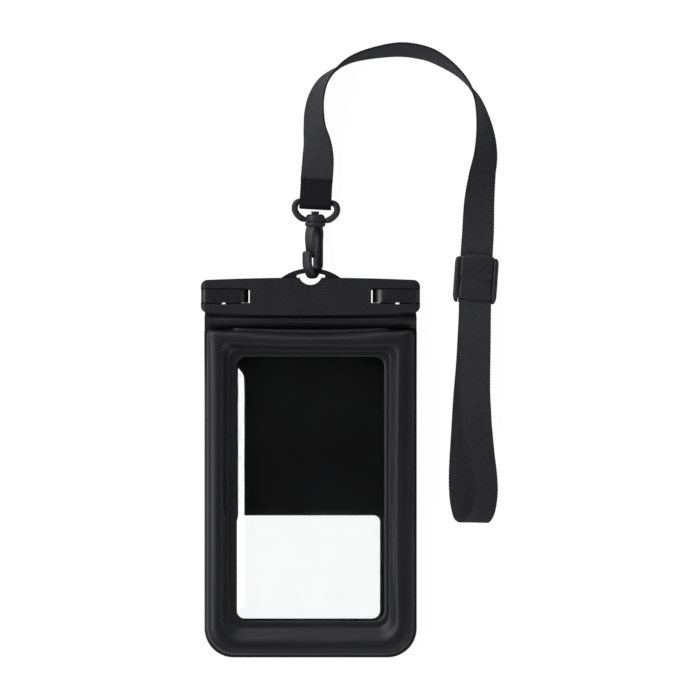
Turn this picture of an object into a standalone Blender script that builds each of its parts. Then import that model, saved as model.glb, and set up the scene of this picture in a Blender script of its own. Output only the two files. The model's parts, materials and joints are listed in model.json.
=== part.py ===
"""Waterproof phone case: a floating pouch with an air-filled frame, a clamp bar and a lanyard.

The case lies on its back, front up (+Z), mouth towards +Y. The origin is the middle of the
pouch's back, on the surface that it lies on. Lengths are in metres, written as millimetres * MM.
"""
import math

import bmesh
import bpy
from mathutils import Matrix, Vector

MM = 0.001
GAP = 0.3 * MM

# Pouch: an air-filled frame around a clear window, on a flat back skin.
POUCH_HALF = 61.6 * MM
POUCH_LOW = -109.3 * MM
FRAME_TOP = 80.3 * MM
LOW_CORNER = 16.0 * MM
TOP_CORNER = 3.0 * MM
WINDOW_HALF = 42.6 * MM
WINDOW_LOW = -88.2 * MM
WINDOW_TOP = 64.4 * MM
WINDOW_CORNER = 5.8 * MM
SKIN = 1.0 * MM
FRAME_BASE = 1.4 * MM
CREST = 17.9 * MM
LIP_UNDER = 11.8 * MM
MOUTH_ROOF = 11.2 * MM
FILM = 0.8 * MM
FILM_LAP = 2.0 * MM

# The frame's section, as share of the way from its outer edge to the window, and height.
FRAME_OUTER = [(0.0, 2.4), (0.08, 2.6), (0.105, 5.0), (0.15, 9.6), (0.24, 14.2), (0.35, 16.9), (0.47, 17.9)]
FRAME_INNER = [(0.58, 17.3), (0.67, 15.4), (0.74, 13.4), (0.8, 12.7), (0.98, 12.7), (1.0, 12.5)]
FRAME_UNDER = [(1.0, 11.9), (0.8, 11.8), (0.76, 11.5)]
FRAME_FOOT = [0.74, 0.45, 0.0]

# Camera window: a clear panel in the back skin.
CAMERA_LEFT, CAMERA_RIGHT = -42.9 * MM, 40.3 * MM
CAMERA_LOW, CAMERA_TOP = -87.7 * MM, -27.8 * MM
CAMERA_LOW_CORNER, CAMERA_TOP_CORNER = 4.6 * MM, 3.7 * MM

# Neck: the film between the frame and the clamp bar, where the mouth opens.
NECK_HALF = 61.0 * MM
NECK_START = 81.0 * MM
NECK_FLAT = 88.0 * MM
NECK_CROWN = 1.2 * MM
NECK_EDGE_DROP = 2.5 * MM
FRONT_FILM_Z = 11.4 * MM
BACK_FILM_LIFT = 3.9 * MM
EDGE_FROM = 46.5 * MM
FILM_GRIP = 1.8 * MM
JAW_AXIS_Y, JAW_AXIS_Z = 81.5 * MM, 11.5 * MM

# Clamp bar, in two halves that meet at a parting face.
BAR_HALF = 63.5 * MM
BAR_CORNER = 4.0 * MM
BAR_TOP_MID, BAR_TOP_END = 110.3 * MM, 109.0 * MM
BAR_LOW_MID, BAR_LOW_END = 88.5 * MM, 91.1 * MM
BACK_BAR_FACE = 8.0 * MM
FRONT_BAR_FACE = 8.3 * MM
FRONT_BAR_TOP = 14.6 * MM
BAR_BEVEL = 0.8 * MM

# Seals: two soft strips, one in each half of the bar.
SEAL_HALF = 56.0 * MM
SEAL_LOW, SEAL_HIGH = 92.0 * MM, 94.0 * MM
SEAL_DEPTH = 1.0 * MM

# Latches: levers on pins in the ends of the front bar, with tips that reach through both bars.
LATCH_LOW, LATCH_HIGH = 95.8 * MM, 103.4 * MM
LATCH_AXIS_X, LATCH_AXIS_Z = 60.4 * MM, 11.4 * MM
HUB_RADIUS = 3.0 * MM
ARM_UNDER = 0.5 * MM
NOSE_START = -16.6 * MM
NOSE_REACH, NOSE_DROP = 7.5 * MM, 6.0 * MM
NOSE_INNER_REACH, NOSE_INNER_DROP = 5.0 * MM, 3.5 * MM
CHANNEL_END = 35.1 * MM
CHANNEL_FLOOR = 11.6 * MM
PIN_RADIUS = 1.0 * MM
PIN_LOW, PIN_HIGH = 93.9 * MM, 105.6 * MM
DASH_X, DASH_LONG = 50.4 * MM, 2.3 * MM

# Lanyard loop: a rounded tab of the back bar, with a hole, and the front bar's notch over it.
TAB_MID = 0.2 * MM
TAB_RADIUS, TAB_TOP = 29.1 * MM, 115.8 * MM
TAB_HOLE_RADIUS, TAB_HOLE_TOP = 26.6 * MM, 113.7 * MM
TAB_UNDER = 5.8 * MM
HOLE_RADIUS, HOLE_MID = 8.2 * MM, 112.0 * MM
NOTCH_RADIUS, NOTCH_MID = 6.9 * MM, 113.0 * MM

# Swivel hook: its plane stands on edge, turned from the vertical about the swivel's axis.
HOOK_X, HOOK_Z = 2.7 * MM, 7.3 * MM
HOOK_TURN = math.radians(28.0)
HOOK_WIDTH, HOOK_THICK = 4.9 * MM, 3.0 * MM
HOOK_SHANK = [(-2.2, 140.8), (-3.6, 138.4), (-5.0, 135.0), (-5.6, 131.0), (-5.7, 124.0), (-5.7, 118.5)]
HOOK_BEND_MID, HOOK_BEND_Y = 0.1 * MM, 116.0 * MM
HOOK_BEND_HALF, HOOK_BEND_DEEP, HOOK_BEND_POWER = 5.8 * MM, 4.7 * MM, 0.74
HOOK_TIP = [(5.95, 118.5), (6.1, 122.0), (6.2, 125.4)]
GATE = [(5.3, 139.2), (6.5, 136.2), (6.7, 132.5), (5.5, 129.0), (3.8, 126.0), (2.9, 123.6), (2.5, 121.8)]
GATE_THICK = 1.8 * MM
STEM = [(0.0, 148.8), (2.3, 148.8), (2.3, 147.4), (1.8, 147.4), (1.8, 142.3), (5.0, 142.3), (5.7, 141.6),
        (5.7, 139.8), (0.0, 139.8)]

# Swivel ring: a rounded D on a hub that turns on the hook's stem.
HUB = [(2.1, 147.1), (4.6, 147.1), (5.4, 146.3), (5.4, 143.4), (4.8, 142.6), (2.1, 142.6)]
RING_X = 3.2 * MM
RING_WIRE = 1.6 * MM
RING_BAR_Y = 153.9 * MM
RING_SIDE = [(9.3, 153.9), (10.6, 153.2), (11.8, 151.5), (12.2, 149.6), (11.7, 148.1), (10.3, 146.9),
             (7.6, 145.5), (4.0, 144.3)]

# Strap: flat webbing, sewn round the ring's bar at one end and round the slider's bar at the other.
STRAP_WIDTH, STRAP_THICK = 19.0 * MM, 1.3 * MM
EYE_X, EYE_END = 3.0 * MM, 168.2 * MM
EYE_SEAM_Y = 166.5 * MM
EYE_SIDE = [(168.2, 0.8), (164.0, 0.8), (161.0, 1.1), (158.0, 1.85), (156.0, 2.5)]
# Each point is x, y, height of the middle, and how far the strap leans on its edge, in degrees.
STRAP_ARCH = [
    (3.0, 168.6, 7.3, 0), (3.1, 172.4, 7.3, 2), (3.6, 179.0, 7.2, 12), (3.6, 187.9, 7.4, 33), (2.6, 197.2, 8.3, 52),
    (2.0, 206.5, 9.0, 62), (3.2, 215.8, 9.5, 69), (7.3, 225.0, 9.8, 81), (15.6, 233.2, 9.8, 91),
    (25.2, 238.3, 9.7, 99), (39.0, 241.8, 9.5, 106), (53.2, 242.7, 9.4, 111), (66.8, 240.6, 9.4, 110),
    (76.2, 236.4, 9.6, 105), (85.0, 230.2, 9.8, 97), (91.6, 222.5, 9.8, 90), (96.0, 214.5, 9.8, 82),
    (99.2, 204.0, 9.6, 72), (101.0, 192.6, 9.1, 62), (101.0, 181.0, 8.0, 49), (98.9, 169.4, 6.9, 40),
    (97.5, 154.0, 6.3, 31), (96.7, 137.0, 6.3, 16), (96.1, 124.0, 6.5, 0), (95.6, 109.4, 6.5, 0),
]
STRAP_LOOP = [
    (95.1, 95.0, 6.5, 0), (95.1, 72.0, 8.2, 3), (95.6, 48.0, 10.0, 8), (96.2, 26.0, 11.6, 16),
    (98.4, 6.0, 12.5, 30), (100.6, -11.0, 12.4, 40), (99.8, -23.0, 10.6, 33), (96.6, -30.2, 6.2, 16),
    (92.6, -25.0, 2.1, 5), (90.2, -12.0, 1.0, 0), (89.8, 6.0, 1.0, 0), (90.6, 26.0, 1.0, 0),
    (92.4, 48.0, 1.0, 0), (94.2, 72.0, 1.0, 0), (95.1, 95.0, 1.0, 0), (95.4, 104.0, 1.0, 0),
]
STRAP_STEP = 4.0 * MM

# Slider: a moulded buckle with two rails, a bowed front plate and a bar for the strap's end.
SLIDER_X, SLIDER_Y = 95.6 * MM, 109.4 * MM
SLIDER_LEAN = math.radians(2.0)
RAIL_INNER, RAIL_OUTER = 9.9 * MM, 13.1 * MM
RAIL_LOW, RAIL_HIGH, RAIL_TOP = -14.3 * MM, 12.8 * MM, 9.2 * MM
RAIL_CORNER = 3.0 * MM
SLIDER_BAR, SLIDER_BAR_Z = 1.0 * MM, 2.95 * MM
PLATE = [(-11.8, 8.5), (-8.0, 8.9), (-3.5, 8.9), (0.3, 8.6), (1.4, 8.9), (4.0, 9.4), (9.0, 9.5), (12.4, 9.0),
         (13.6, 8.5)]
PLATE_THICK = 1.8 * MM
PLATE_ARCH = 1.2 * MM
TAIL_END = -14.0 * MM
STITCH = 0.3 * MM

for leftover in list(bpy.data.objects):
    bpy.data.objects.remove(leftover, do_unlink=True)
PARTS = bpy.data.collections.new("waterproof_phone_case")
CUTTERS = bpy.data.collections.new("cutters")
for collection in (PARTS, CUTTERS):
    bpy.context.scene.collection.children.link(collection)


# Materials

def material(name, colour, roughness, transmission=0.0):
    made = bpy.data.materials.new(name)
    made.use_nodes = True
    shader = made.node_tree.nodes["Principled BSDF"]
    shader.inputs["Base Color"].default_value = (*colour, 1.0)
    shader.inputs["Roughness"].default_value = roughness
    shader.inputs["Metallic"].default_value = 0.0
    shader.inputs["Transmission Weight"].default_value = transmission
    return made


BLACK_FILM = material("black_film", (0.028, 0.028, 0.031), 0.42)
CLEAR_FILM = material("clear_film", (0.92, 0.94, 0.95), 0.06, 1.0)
HARD_BLACK = material("hard_black_plastic", (0.024, 0.024, 0.026), 0.5)
LATCH_BLACK = material("latch_plastic", (0.022, 0.022, 0.024), 0.38)
HOOK_BLACK = material("hook_plastic", (0.034, 0.034, 0.037), 0.45)
SEAL_RUBBER = material("seal_rubber", (0.05, 0.05, 0.055), 0.7)
PIN_STEEL = material("pin_steel", (0.55, 0.55, 0.56), 0.3)
WEBBING = material("strap_webbing", (0.022, 0.022, 0.026), 0.85)
THREAD = material("sewing_thread", (0.015, 0.015, 0.017), 0.7)


# Helpers

def add_object(name, mesh, finish=None, collection=PARTS):
    made = bpy.data.objects.new(name, mesh)
    collection.objects.link(made)
    if finish:
        mesh.materials.append(finish)
    return made


def as_helper(made):
    """Makes an object a cutter or a piece to be joined: it stays out of the model itself."""
    for home in list(made.users_collection):
        home.objects.unlink(made)
    CUTTERS.objects.link(made)
    made.hide_render = True
    made.display_type = "WIRE"
    return made


def combine(target, helper, operation):
    step = target.modifiers.new(helper.name, "BOOLEAN")
    step.operation = operation
    step.solver = "EXACT"
    step.object = as_helper(helper)


def cut(target, *helpers):
    for helper in helpers:
        combine(target, helper, "DIFFERENCE")


def join(target, *helpers):
    for helper in helpers:
        combine(target, helper, "UNION")


def bevel(made, width, segments=2):
    step = made.modifiers.new("rounded_edges", "BEVEL")
    step.width = width
    step.segments = segments
    step.limit_method = "ANGLE"
    step.angle_limit = math.radians(40)


def smooth_shaded(made, angle=35):
    made.data.shade_smooth()
    made.data.set_sharp_from_angle(angle=math.radians(angle))


def mesh_from_curve(name, curve, finish, place=Matrix()):
    """Turns a curve into a welded mesh object, so that it can be cut, joined or bevelled."""
    source = add_object(name + "_curve", curve)
    bpy.context.view_layer.update()
    graph = bpy.context.evaluated_depsgraph_get()
    mesh = bpy.data.meshes.new_from_object(source.evaluated_get(graph))
    bpy.data.objects.remove(source, do_unlink=True)
    shape = bmesh.new()
    shape.from_mesh(mesh)
    bmesh.ops.remove_doubles(shape, verts=shape.verts, dist=1e-6)
    shape.transform(place)
    bmesh.ops.recalc_face_normals(shape, faces=shape.faces)
    shape.to_mesh(mesh)
    shape.free()
    mesh.name = name
    return add_object(name, mesh, finish)


def plate(name, outline, low, high, finish=None, turn=Matrix()):
    """A flat outline with thickness, from low to high along its own Z."""
    curve = bpy.data.curves.new(name, "CURVE")
    curve.dimensions = "2D"
    curve.fill_mode = "BOTH"
    curve.extrude = (high - low) / 2
    spline = curve.splines.new("POLY")
    spline.points.add(len(outline) - 1)
    for point, (x, y) in zip(spline.points, outline):
        point.co = (x, y, 0, 1)
    spline.use_cyclic_u = True
    return mesh_from_curve(name, curve, finish, turn @ Matrix.Translation((0, 0, (low + high) / 2)))


def tube(name, points, radius, finish, resolution=2):
    curve = bpy.data.curves.new(name, "CURVE")
    curve.dimensions = "3D"
    curve.bevel_depth = radius
    curve.bevel_resolution = resolution
    curve.use_fill_caps = True
    spline = curve.splines.new("POLY")
    spline.points.add(len(points) - 1)
    for point, place in zip(spline.points, points):
        point.co = (*place, 1)
    return mesh_from_curve(name, curve, finish)


def box(name, low, high):
    shape = bmesh.new()
    bmesh.ops.create_cube(shape, size=1)
    size = Vector(high) - Vector(low)
    middle = (Vector(high) + Vector(low)) / 2
    shape.transform(Matrix.Translation(middle) @ Matrix.Diagonal((*size, 1)))
    mesh = bpy.data.meshes.new(name)
    shape.to_mesh(mesh)
    shape.free()
    return add_object(name, mesh)


def rod(name, radius, start, end, finish=None, sides=20):
    """A cylinder from start to end."""
    start, end = Vector(start), Vector(end)
    along = end - start
    shape = bmesh.new()
    bmesh.ops.create_cone(shape, cap_ends=True, segments=sides, radius1=radius, radius2=radius,
                          depth=along.length)
    shape.transform(Matrix.Translation((start + end) / 2) @ along.to_track_quat("Z", "Y").to_matrix().to_4x4())
    mesh = bpy.data.meshes.new(name)
    shape.to_mesh(mesh)
    shape.free()
    return add_object(name, mesh, finish)


def turned(name, profile, finish, closed):
    """A profile of (radius, distance along +Y) in millimetres, turned about the swivel's axis."""
    mesh = bpy.data.meshes.new(name)
    edges = [(i, i + 1) for i in range(len(profile) - 1)]
    if closed:
        edges.append((len(profile) - 1, 0))
    mesh.from_pydata([(r * MM, 0, y * MM) for r, y in profile], edges, [])
    made = add_object(name, mesh, finish)
    made.matrix_world = Matrix.Translation((HOOK_X, 0, HOOK_Z)) @ Matrix.Rotation(math.radians(-90), 4, "X")
    step = made.modifiers.new("turn", "SCREW")
    step.axis = "Z"
    step.steps = step.render_steps = 24
    step.use_merge_vertices = True
    step.merge_threshold = 1e-6
    step.use_smooth_shade = True
    return made


def sheet(name, across, along, place, thickness, finish):
    """A film: a flat grid over the given shares, each point moved by place, then thickened."""
    shape = bmesh.new()
    bmesh.ops.create_grid(shape, x_segments=len(across) - 1, y_segments=len(along) - 1, size=0.5)
    for point in shape.verts:
        column = round((point.co.x + 0.5) * (len(across) - 1))
        row = round((point.co.y + 0.5) * (len(along) - 1))
        point.co = place(across[column], along[row])
    mesh = bpy.data.meshes.new(name)
    shape.to_mesh(mesh)
    shape.free()
    made = add_object(name, mesh, finish)
    step = made.modifiers.new("thickness", "SOLIDIFY")
    step.thickness = thickness
    step.offset = 0
    step.use_even_offset = True
    smooth_shaded(made)
    return made


def ribbon(name, stations, width, thickness, finish):
    """A flat strip along stations, each a middle point and the direction across the strip."""
    def place(side, index):
        middle, across = stations[index]
        return middle + across * (side * width / 2)

    return sheet(name, (-1, 1), range(len(stations)), place, thickness, finish)


def share(value, low, high):
    return min(max((value - low) / (high - low), 0.0), 1.0)


def ease(value, low, high):
    t = share(value, low, high)
    return t * t * (3 - 2 * t)


def mix(a, b, t):
    return a + (b - a) * t


def arc(x, y, radius, start, end, steps):
    """Points on a circle, from one angle to another, in degrees."""
    angles = [math.radians(mix(start, end, i / steps)) for i in range(steps + 1)]
    return [(x + radius * math.cos(a), y + radius * math.sin(a)) for a in angles]


def rounded_outline(left, right, low, top, low_corner, top_corner, steps, side_points):
    """A rectangle with round corners, anticlockwise from the lower right. side_points are the points
    inside the lower, right, upper and left sides."""
    corners = [(right - low_corner, low + low_corner, low_corner, -90),
               (right - top_corner, top - top_corner, top_corner, 0),
               (left + top_corner, top - top_corner, top_corner, 90),
               (left + low_corner, low + low_corner, low_corner, 180)]
    points = []
    for index, (x, y, radius, start) in enumerate(corners):
        points += arc(x, y, radius, start, start + 90, steps)
        x2, y2, radius2, start2 = corners[(index + 1) % 4]
        here = points[-1]
        there = arc(x2, y2, radius2, start2, start2 + 90, steps)[0]
        count = side_points[(index + 1) % 4]
        points += [(mix(here[0], there[0], (i + 1) / (count + 1)), mix(here[1], there[1], (i + 1) / (count + 1)))
                   for i in range(count)]
    return points


# Pouch

def back_lift(x, y):
    """How far the back skin rises towards the clamp bar, first along its side seams, then all across."""
    middle = BACK_FILM_LIFT * ease(y, 72 * MM, 88 * MM)
    seam = BACK_FILM_LIFT * ease(y, 40 * MM, 80 * MM)
    return mix(middle, seam, share(abs(x), EDGE_FROM, POUCH_HALF))


def bar_low(x):
    return mix(BAR_LOW_MID, BAR_LOW_END, (x / (BAR_HALF - BAR_CORNER)) ** 2)


def bar_top(x):
    return mix(BAR_TOP_MID, BAR_TOP_END, (x / (BAR_HALF - BAR_CORNER)) ** 2)


def frame_foot(x, y):
    """The underside of the frame: on the back skin at the sides, above the mouth's way in at the top."""
    over_mouth = (1 - ease(abs(x), 43 * MM, 50 * MM)) * ease(y, 58 * MM, 66 * MM)
    return mix(FRAME_BASE + back_lift(x, y), MOUTH_ROOF, over_mouth)


def build_air_frame():
    """One sealed air chamber: a section carried round from the outer outline to the window's."""
    points_on_sides = (10, 10, 18, 10)
    outer = rounded_outline(-POUCH_HALF, POUCH_HALF, POUCH_LOW, FRAME_TOP, LOW_CORNER, TOP_CORNER, 5,
                            points_on_sides)
    inner = rounded_outline(-WINDOW_HALF, WINDOW_HALF, WINDOW_LOW, WINDOW_TOP, WINDOW_CORNER, WINDOW_CORNER,
                            5, points_on_sides)

    def section(a, b):
        ring = []
        for f, height in FRAME_OUTER:
            x, y = mix(a[0], b[0], f), mix(a[1], b[1], f)
            foot = frame_foot(x, y)
            rise = (height * MM - FRAME_BASE) / (CREST - FRAME_BASE)
            ring.append((x, y, max(mix(foot, CREST, rise), foot + SKIN)))
        for f, height in FRAME_INNER + FRAME_UNDER:
            ring.append((mix(a[0], b[0], f), mix(a[1], b[1], f), height * MM))
        for f in FRAME_FOOT:
            x, y = mix(a[0], b[0], f), mix(a[1], b[1], f)
            ring.append((x, y, frame_foot(x, y)))
        return ring

    rings = [section(a, b) for a, b in zip(outer, inner)]
    bpy.ops.mesh.primitive_torus_add(major_segments=len(rings), minor_segments=len(rings[0]))
    made = bpy.context.object
    made.name = made.data.name = "air_frame"
    PARTS.objects.link(made)
    for home in list(made.users_collection):
        if home != PARTS:
            home.objects.unlink(made)
    for index, point in enumerate(made.data.vertices):
        point.co = rings[index // len(rings[0])][index % len(rings[0])]
    shape = bmesh.new()
    shape.from_mesh(made.data)
    bmesh.ops.recalc_face_normals(shape, faces=shape.faces)
    shape.to_mesh(made.data)
    shape.free()
    made.data.materials.append(BLACK_FILM)
    smooth_shaded(made, 50)


def build_back_skin():
    """The flat back of the pouch, up to its grip in the back bar, with the camera window's opening."""
    edge = EDGE_FROM / POUCH_HALF
    across = [-1, -0.88, -edge, -0.4, 0, 0.4, edge, 0.88, 1]
    corner_rows = [POUCH_LOW + LOW_CORNER * (1 - math.cos(math.radians(a))) for a in (0, 18, 36, 54, 72, 90)]
    rows = corner_rows + [y * MM for y in (-40, 10, 40, 46, 52, 58, 64, 70, 74, 78, 82, 86)] + [None]

    def place(side, y):
        if y is None:
            x = side * NECK_HALF
            return Vector((x, bar_low(x) + FILM_GRIP, SKIN / 2 + BACK_FILM_LIFT))
        drop = max(POUCH_LOW + LOW_CORNER - y, 0)
        x = side * (POUCH_HALF - LOW_CORNER + math.sqrt(max(LOW_CORNER ** 2 - drop ** 2, 0)))
        return Vector((x, y, SKIN / 2 + back_lift(x, y)))

    skin = sheet("back_skin", across, rows, place, SKIN, BLACK_FILM)
    hole = rounded_outline(CAMERA_LEFT, CAMERA_RIGHT, CAMERA_LOW, CAMERA_TOP, CAMERA_LOW_CORNER,
                           CAMERA_TOP_CORNER, 5, (0, 0, 0, 0))
    cut(skin, plate("camera_opening", hole, -2 * SKIN, 3 * SKIN))


def build_windows():
    """Two clear films: one behind the frame's lip, one over the opening in the back skin."""
    front = rounded_outline(-WINDOW_HALF - FILM_LAP, WINDOW_HALF + FILM_LAP, WINDOW_LOW - FILM_LAP,
                            WINDOW_TOP + FILM_LAP, WINDOW_CORNER + FILM_LAP, WINDOW_CORNER + FILM_LAP, 5,
                            (0, 0, 0, 0))
    plate("front_window", front, LIP_UNDER - GAP - FILM, LIP_UNDER - GAP, CLEAR_FILM)
    back = rounded_outline(CAMERA_LEFT - FILM_LAP, CAMERA_RIGHT + FILM_LAP, CAMERA_LOW - FILM_LAP,
                           CAMERA_TOP + FILM_LAP, CAMERA_LOW_CORNER + FILM_LAP, CAMERA_TOP_CORNER + FILM_LAP,
                           5, (0, 0, 0, 0))
    plate("camera_window", back, SKIN + GAP, SKIN + GAP + FILM, CLEAR_FILM)


def build_front_neck():
    """The front film's neck: a low roll of film from the fold at the frame into the front bar."""
    edge = EDGE_FROM / NECK_HALF
    across = [-1, -0.88, -edge, -0.5, -0.25, 0, 0.25, 0.5, edge, 0.88, 1]

    def place(side, step):
        x = side * NECK_HALF
        to_side = share(abs(x), EDGE_FROM, NECK_HALF)
        y = mix(NECK_START, NECK_FLAT, step) if step <= 1 else bar_low(x) + FILM_GRIP
        root = JAW_AXIS_Z - NECK_EDGE_DROP * to_side
        crown = NECK_CROWN * (1 - to_side) * math.sin(math.pi * min(step, 1))
        return Vector((x, y, mix(root, FRONT_FILM_Z, ease(step, 0, 1)) + crown))

    sheet("front_neck_film", across, [0, 0.2, 0.4, 0.6, 0.8, 1, 2], place, FILM, BLACK_FILM)


# Clamp bar

def bar_outline():
    inner = BAR_HALF - BAR_CORNER
    across = [mix(-inner, inner, i / 12) for i in range(13)]
    low = [(x, bar_low(x)) for x in across[1:-1]]
    high = [(x, bar_top(x)) for x in reversed(across[1:-1])]
    right = (arc(inner, BAR_LOW_END + BAR_CORNER, BAR_CORNER, -90, 0, 5)
             + arc(inner, BAR_TOP_END - BAR_CORNER, BAR_CORNER, 0, 90, 5))
    left = [(-x, y) for x, y in reversed(right)]
    return low + right + high + left


def film_slot(low, high, name):
    """The slot in a bar's lower edge that grips the film's end."""
    half = NECK_HALF + 2 * GAP
    across = [mix(-half, half, i / 12) for i in range(13)]
    outline = ([(x, bar_low(x) - BAR_CORNER) for x in across]
               + [(x, bar_low(x) + FILM_GRIP + GAP) for x in reversed(across)])
    return plate(name, outline, low, high)


def through_slot(name, side, inner, outer, low_y, high_y, low_z, high_z):
    """A box-shaped cut on one side of the bar, between two distances from its middle."""
    x = sorted((side * inner, side * outer))
    return box(name, (x[0], low_y, low_z), (x[1], high_y, high_z))


def dash_cut(name, side, low, high):
    return through_slot(name, side, DASH_X - DASH_LONG / 2, DASH_X + DASH_LONG / 2, LATCH_LOW - 3 * GAP,
                        LATCH_LOW + 2 * GAP, low, high)


def build_front_bar():
    bar = plate("clamp_front_bar", bar_outline(), FRONT_BAR_FACE, FRONT_BAR_TOP, HARD_BLACK)
    bevel(bar, BAR_BEVEL)
    cut(bar, film_slot(FRONT_FILM_Z - FILM / 2 - GAP, FRONT_FILM_Z + FILM / 2 + GAP, "front_film_slot"),
        box("front_seal_groove", (-SEAL_HALF - GAP, SEAL_LOW - GAP, 0),
            (SEAL_HALF + GAP, SEAL_HIGH + GAP, FRONT_BAR_FACE + SEAL_DEPTH + GAP)),
        rod("front_notch", NOTCH_RADIUS, (0, NOTCH_MID, 0), (0, NOTCH_MID, 2 * FRONT_BAR_TOP), sides=40))
    low, high, top = LATCH_LOW - GAP, LATCH_HIGH + GAP, 2 * FRONT_BAR_TOP
    for side, name in ((-1, "left"), (1, "right")):
        cut(bar,
            through_slot("channel_" + name, side, CHANNEL_END, BAR_HALF * 1.1, low, high, CHANNEL_FLOOR, top),
            through_slot("tip_slot_" + name, side, CHANNEL_END, 43 * MM, low, high, 0, top),
            through_slot("hub_slot_" + name, side, LATCH_AXIS_X - HUB_RADIUS - GAP, BAR_HALF * 1.1, low,
                         high, 0, top),
            dash_cut("front_dash_" + name, side, 0, top),
            rod("pin_bore_" + name, PIN_RADIUS + GAP, (side * LATCH_AXIS_X, PIN_LOW - GAP, LATCH_AXIS_Z),
                (side * LATCH_AXIS_X, PIN_HIGH + GAP, LATCH_AXIS_Z)))
    smooth_shaded(bar)


def tab_outline():
    """The lanyard loop's outer edge: one arc that runs down into the bar."""
    half = 17.0 * MM
    reach = math.degrees(math.asin(half / TAB_RADIUS))
    top = arc(TAB_MID, TAB_TOP - TAB_RADIUS, TAB_RADIUS, 90 - reach, 90 + reach, 16)
    return top + [(TAB_MID - half, 100 * MM), (TAB_MID + half, 100 * MM)]


def hole_outline():
    """A round hole whose top follows the loop's edge."""
    half = HOLE_RADIUS - 0.01 * MM
    reach = math.degrees(math.asin(half / TAB_HOLE_RADIUS))
    top = arc(TAB_MID, TAB_HOLE_TOP - TAB_HOLE_RADIUS, TAB_HOLE_RADIUS, 90 - reach, 90 + reach, 8)
    return top + arc(TAB_MID, HOLE_MID, HOLE_RADIUS, 180, 360, 14)


def build_back_bar():
    bar = plate("clamp_back_bar", bar_outline(), 0, BACK_BAR_FACE, HARD_BLACK)
    bevel(bar, BAR_BEVEL)
    film = SKIN / 2 + BACK_FILM_LIFT
    join(bar, plate("lanyard_tab", tab_outline(), TAB_UNDER, BACK_BAR_FACE))
    cut(bar, film_slot(film - SKIN / 2 - GAP, film + SKIN / 2 + GAP, "back_film_slot"),
        box("back_seal_groove", (-SEAL_HALF - GAP, SEAL_LOW - GAP, BACK_BAR_FACE - SEAL_DEPTH - GAP),
            (SEAL_HALF + GAP, SEAL_HIGH + GAP, 2 * BACK_BAR_FACE)),
        plate("lanyard_hole", hole_outline(), -BACK_BAR_FACE, 2 * BACK_BAR_FACE))
    for side, name in ((-1, "left"), (1, "right")):
        cut(bar,
            through_slot("catch_slot_" + name, side, CHANNEL_END, 40.2 * MM, LATCH_LOW - 2 * GAP,
                         LATCH_HIGH + 2.6 * MM, -BACK_BAR_FACE, 2 * BACK_BAR_FACE),
            dash_cut("back_dash_" + name, side, -BACK_BAR_FACE, 2 * BACK_BAR_FACE))
    smooth_shaded(bar)


def build_seals():
    for name, low, high in (("back_seal", BACK_BAR_FACE - SEAL_DEPTH, BACK_BAR_FACE),
                            ("front_seal", FRONT_BAR_FACE, FRONT_BAR_FACE + SEAL_DEPTH)):
        outline = rounded_outline(-SEAL_HALF, SEAL_HALF, SEAL_LOW, SEAL_HIGH, 0.9 * MM, 0.9 * MM, 3,
                                  (0, 0, 0, 0))
        plate(name, outline, low, high, SEAL_RUBBER)


def latch_profile():
    """The lever seen along its pin, measured from the pin, with its arm towards -X."""
    hub_start = 180 - math.degrees(math.asin(ARM_UNDER / HUB_RADIUS))
    hub = arc(0, 0, HUB_RADIUS, hub_start, 450, 16)
    nose_z = HUB_RADIUS - NOSE_DROP
    nose = [(NOSE_START - NOSE_REACH * math.sin(a), nose_z + NOSE_DROP * math.cos(a))
            for a in (math.radians(mix(0, 90, i / 8)) for i in range(9))]
    tip = [(-24.1 * MM, -5.5 * MM), (-22.9 * MM, -9.9 * MM), (-21.7 * MM, -9.9 * MM)]
    inner = [(NOSE_START - NOSE_INNER_REACH * math.cos(a), nose_z + NOSE_INNER_DROP * math.sin(a))
             for a in (math.radians(mix(0, 90, i / 6)) for i in range(7))]
    return hub + nose + tip + inner


def build_latches():
    """Each lever's origin is on its pin's axis."""
    for side, name in ((-1, "left"), (1, "right")):
        profile = [(side * x, z) for x, z in latch_profile()]
        upright = Matrix.Rotation(math.radians(90), 4, "X")
        lever = plate("latch_" + name, profile, -LATCH_HIGH, -LATCH_LOW, LATCH_BLACK, upright)
        lever.location = (side * LATCH_AXIS_X, 0, LATCH_AXIS_Z)
        x = side * LATCH_AXIS_X
        cut(lever, rod("lever_bore_" + name, PIN_RADIUS + GAP, (x, LATCH_LOW - MM, LATCH_AXIS_Z),
                       (x, LATCH_HIGH + MM, LATCH_AXIS_Z)))
        bevel(lever, 0.25 * MM, 1)
        smooth_shaded(lever)
        pin = rod("latch_pin_" + name, PIN_RADIUS, (x, PIN_LOW, LATCH_AXIS_Z), (x, PIN_HIGH, LATCH_AXIS_Z),
                  PIN_STEEL)
        smooth_shaded(pin)


# Hook and swivel

def in_hook_plane(u, y):
    """A point of the hook's own plane: u is measured from the swivel's axis, upwards and to the left."""
    return Vector((HOOK_X - u * math.sin(HOOK_TURN), y, HOOK_Z + u * math.cos(HOOK_TURN)))


def hook_stations(points):
    across = Vector((math.cos(HOOK_TURN), 0, math.sin(HOOK_TURN)))
    return [(in_hook_plane(u, y), across) for u, y in points]


def rounder(value):
    """Makes the bend a little squarer than half an ellipse."""
    return math.copysign(abs(value) ** HOOK_BEND_POWER, value)


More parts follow.
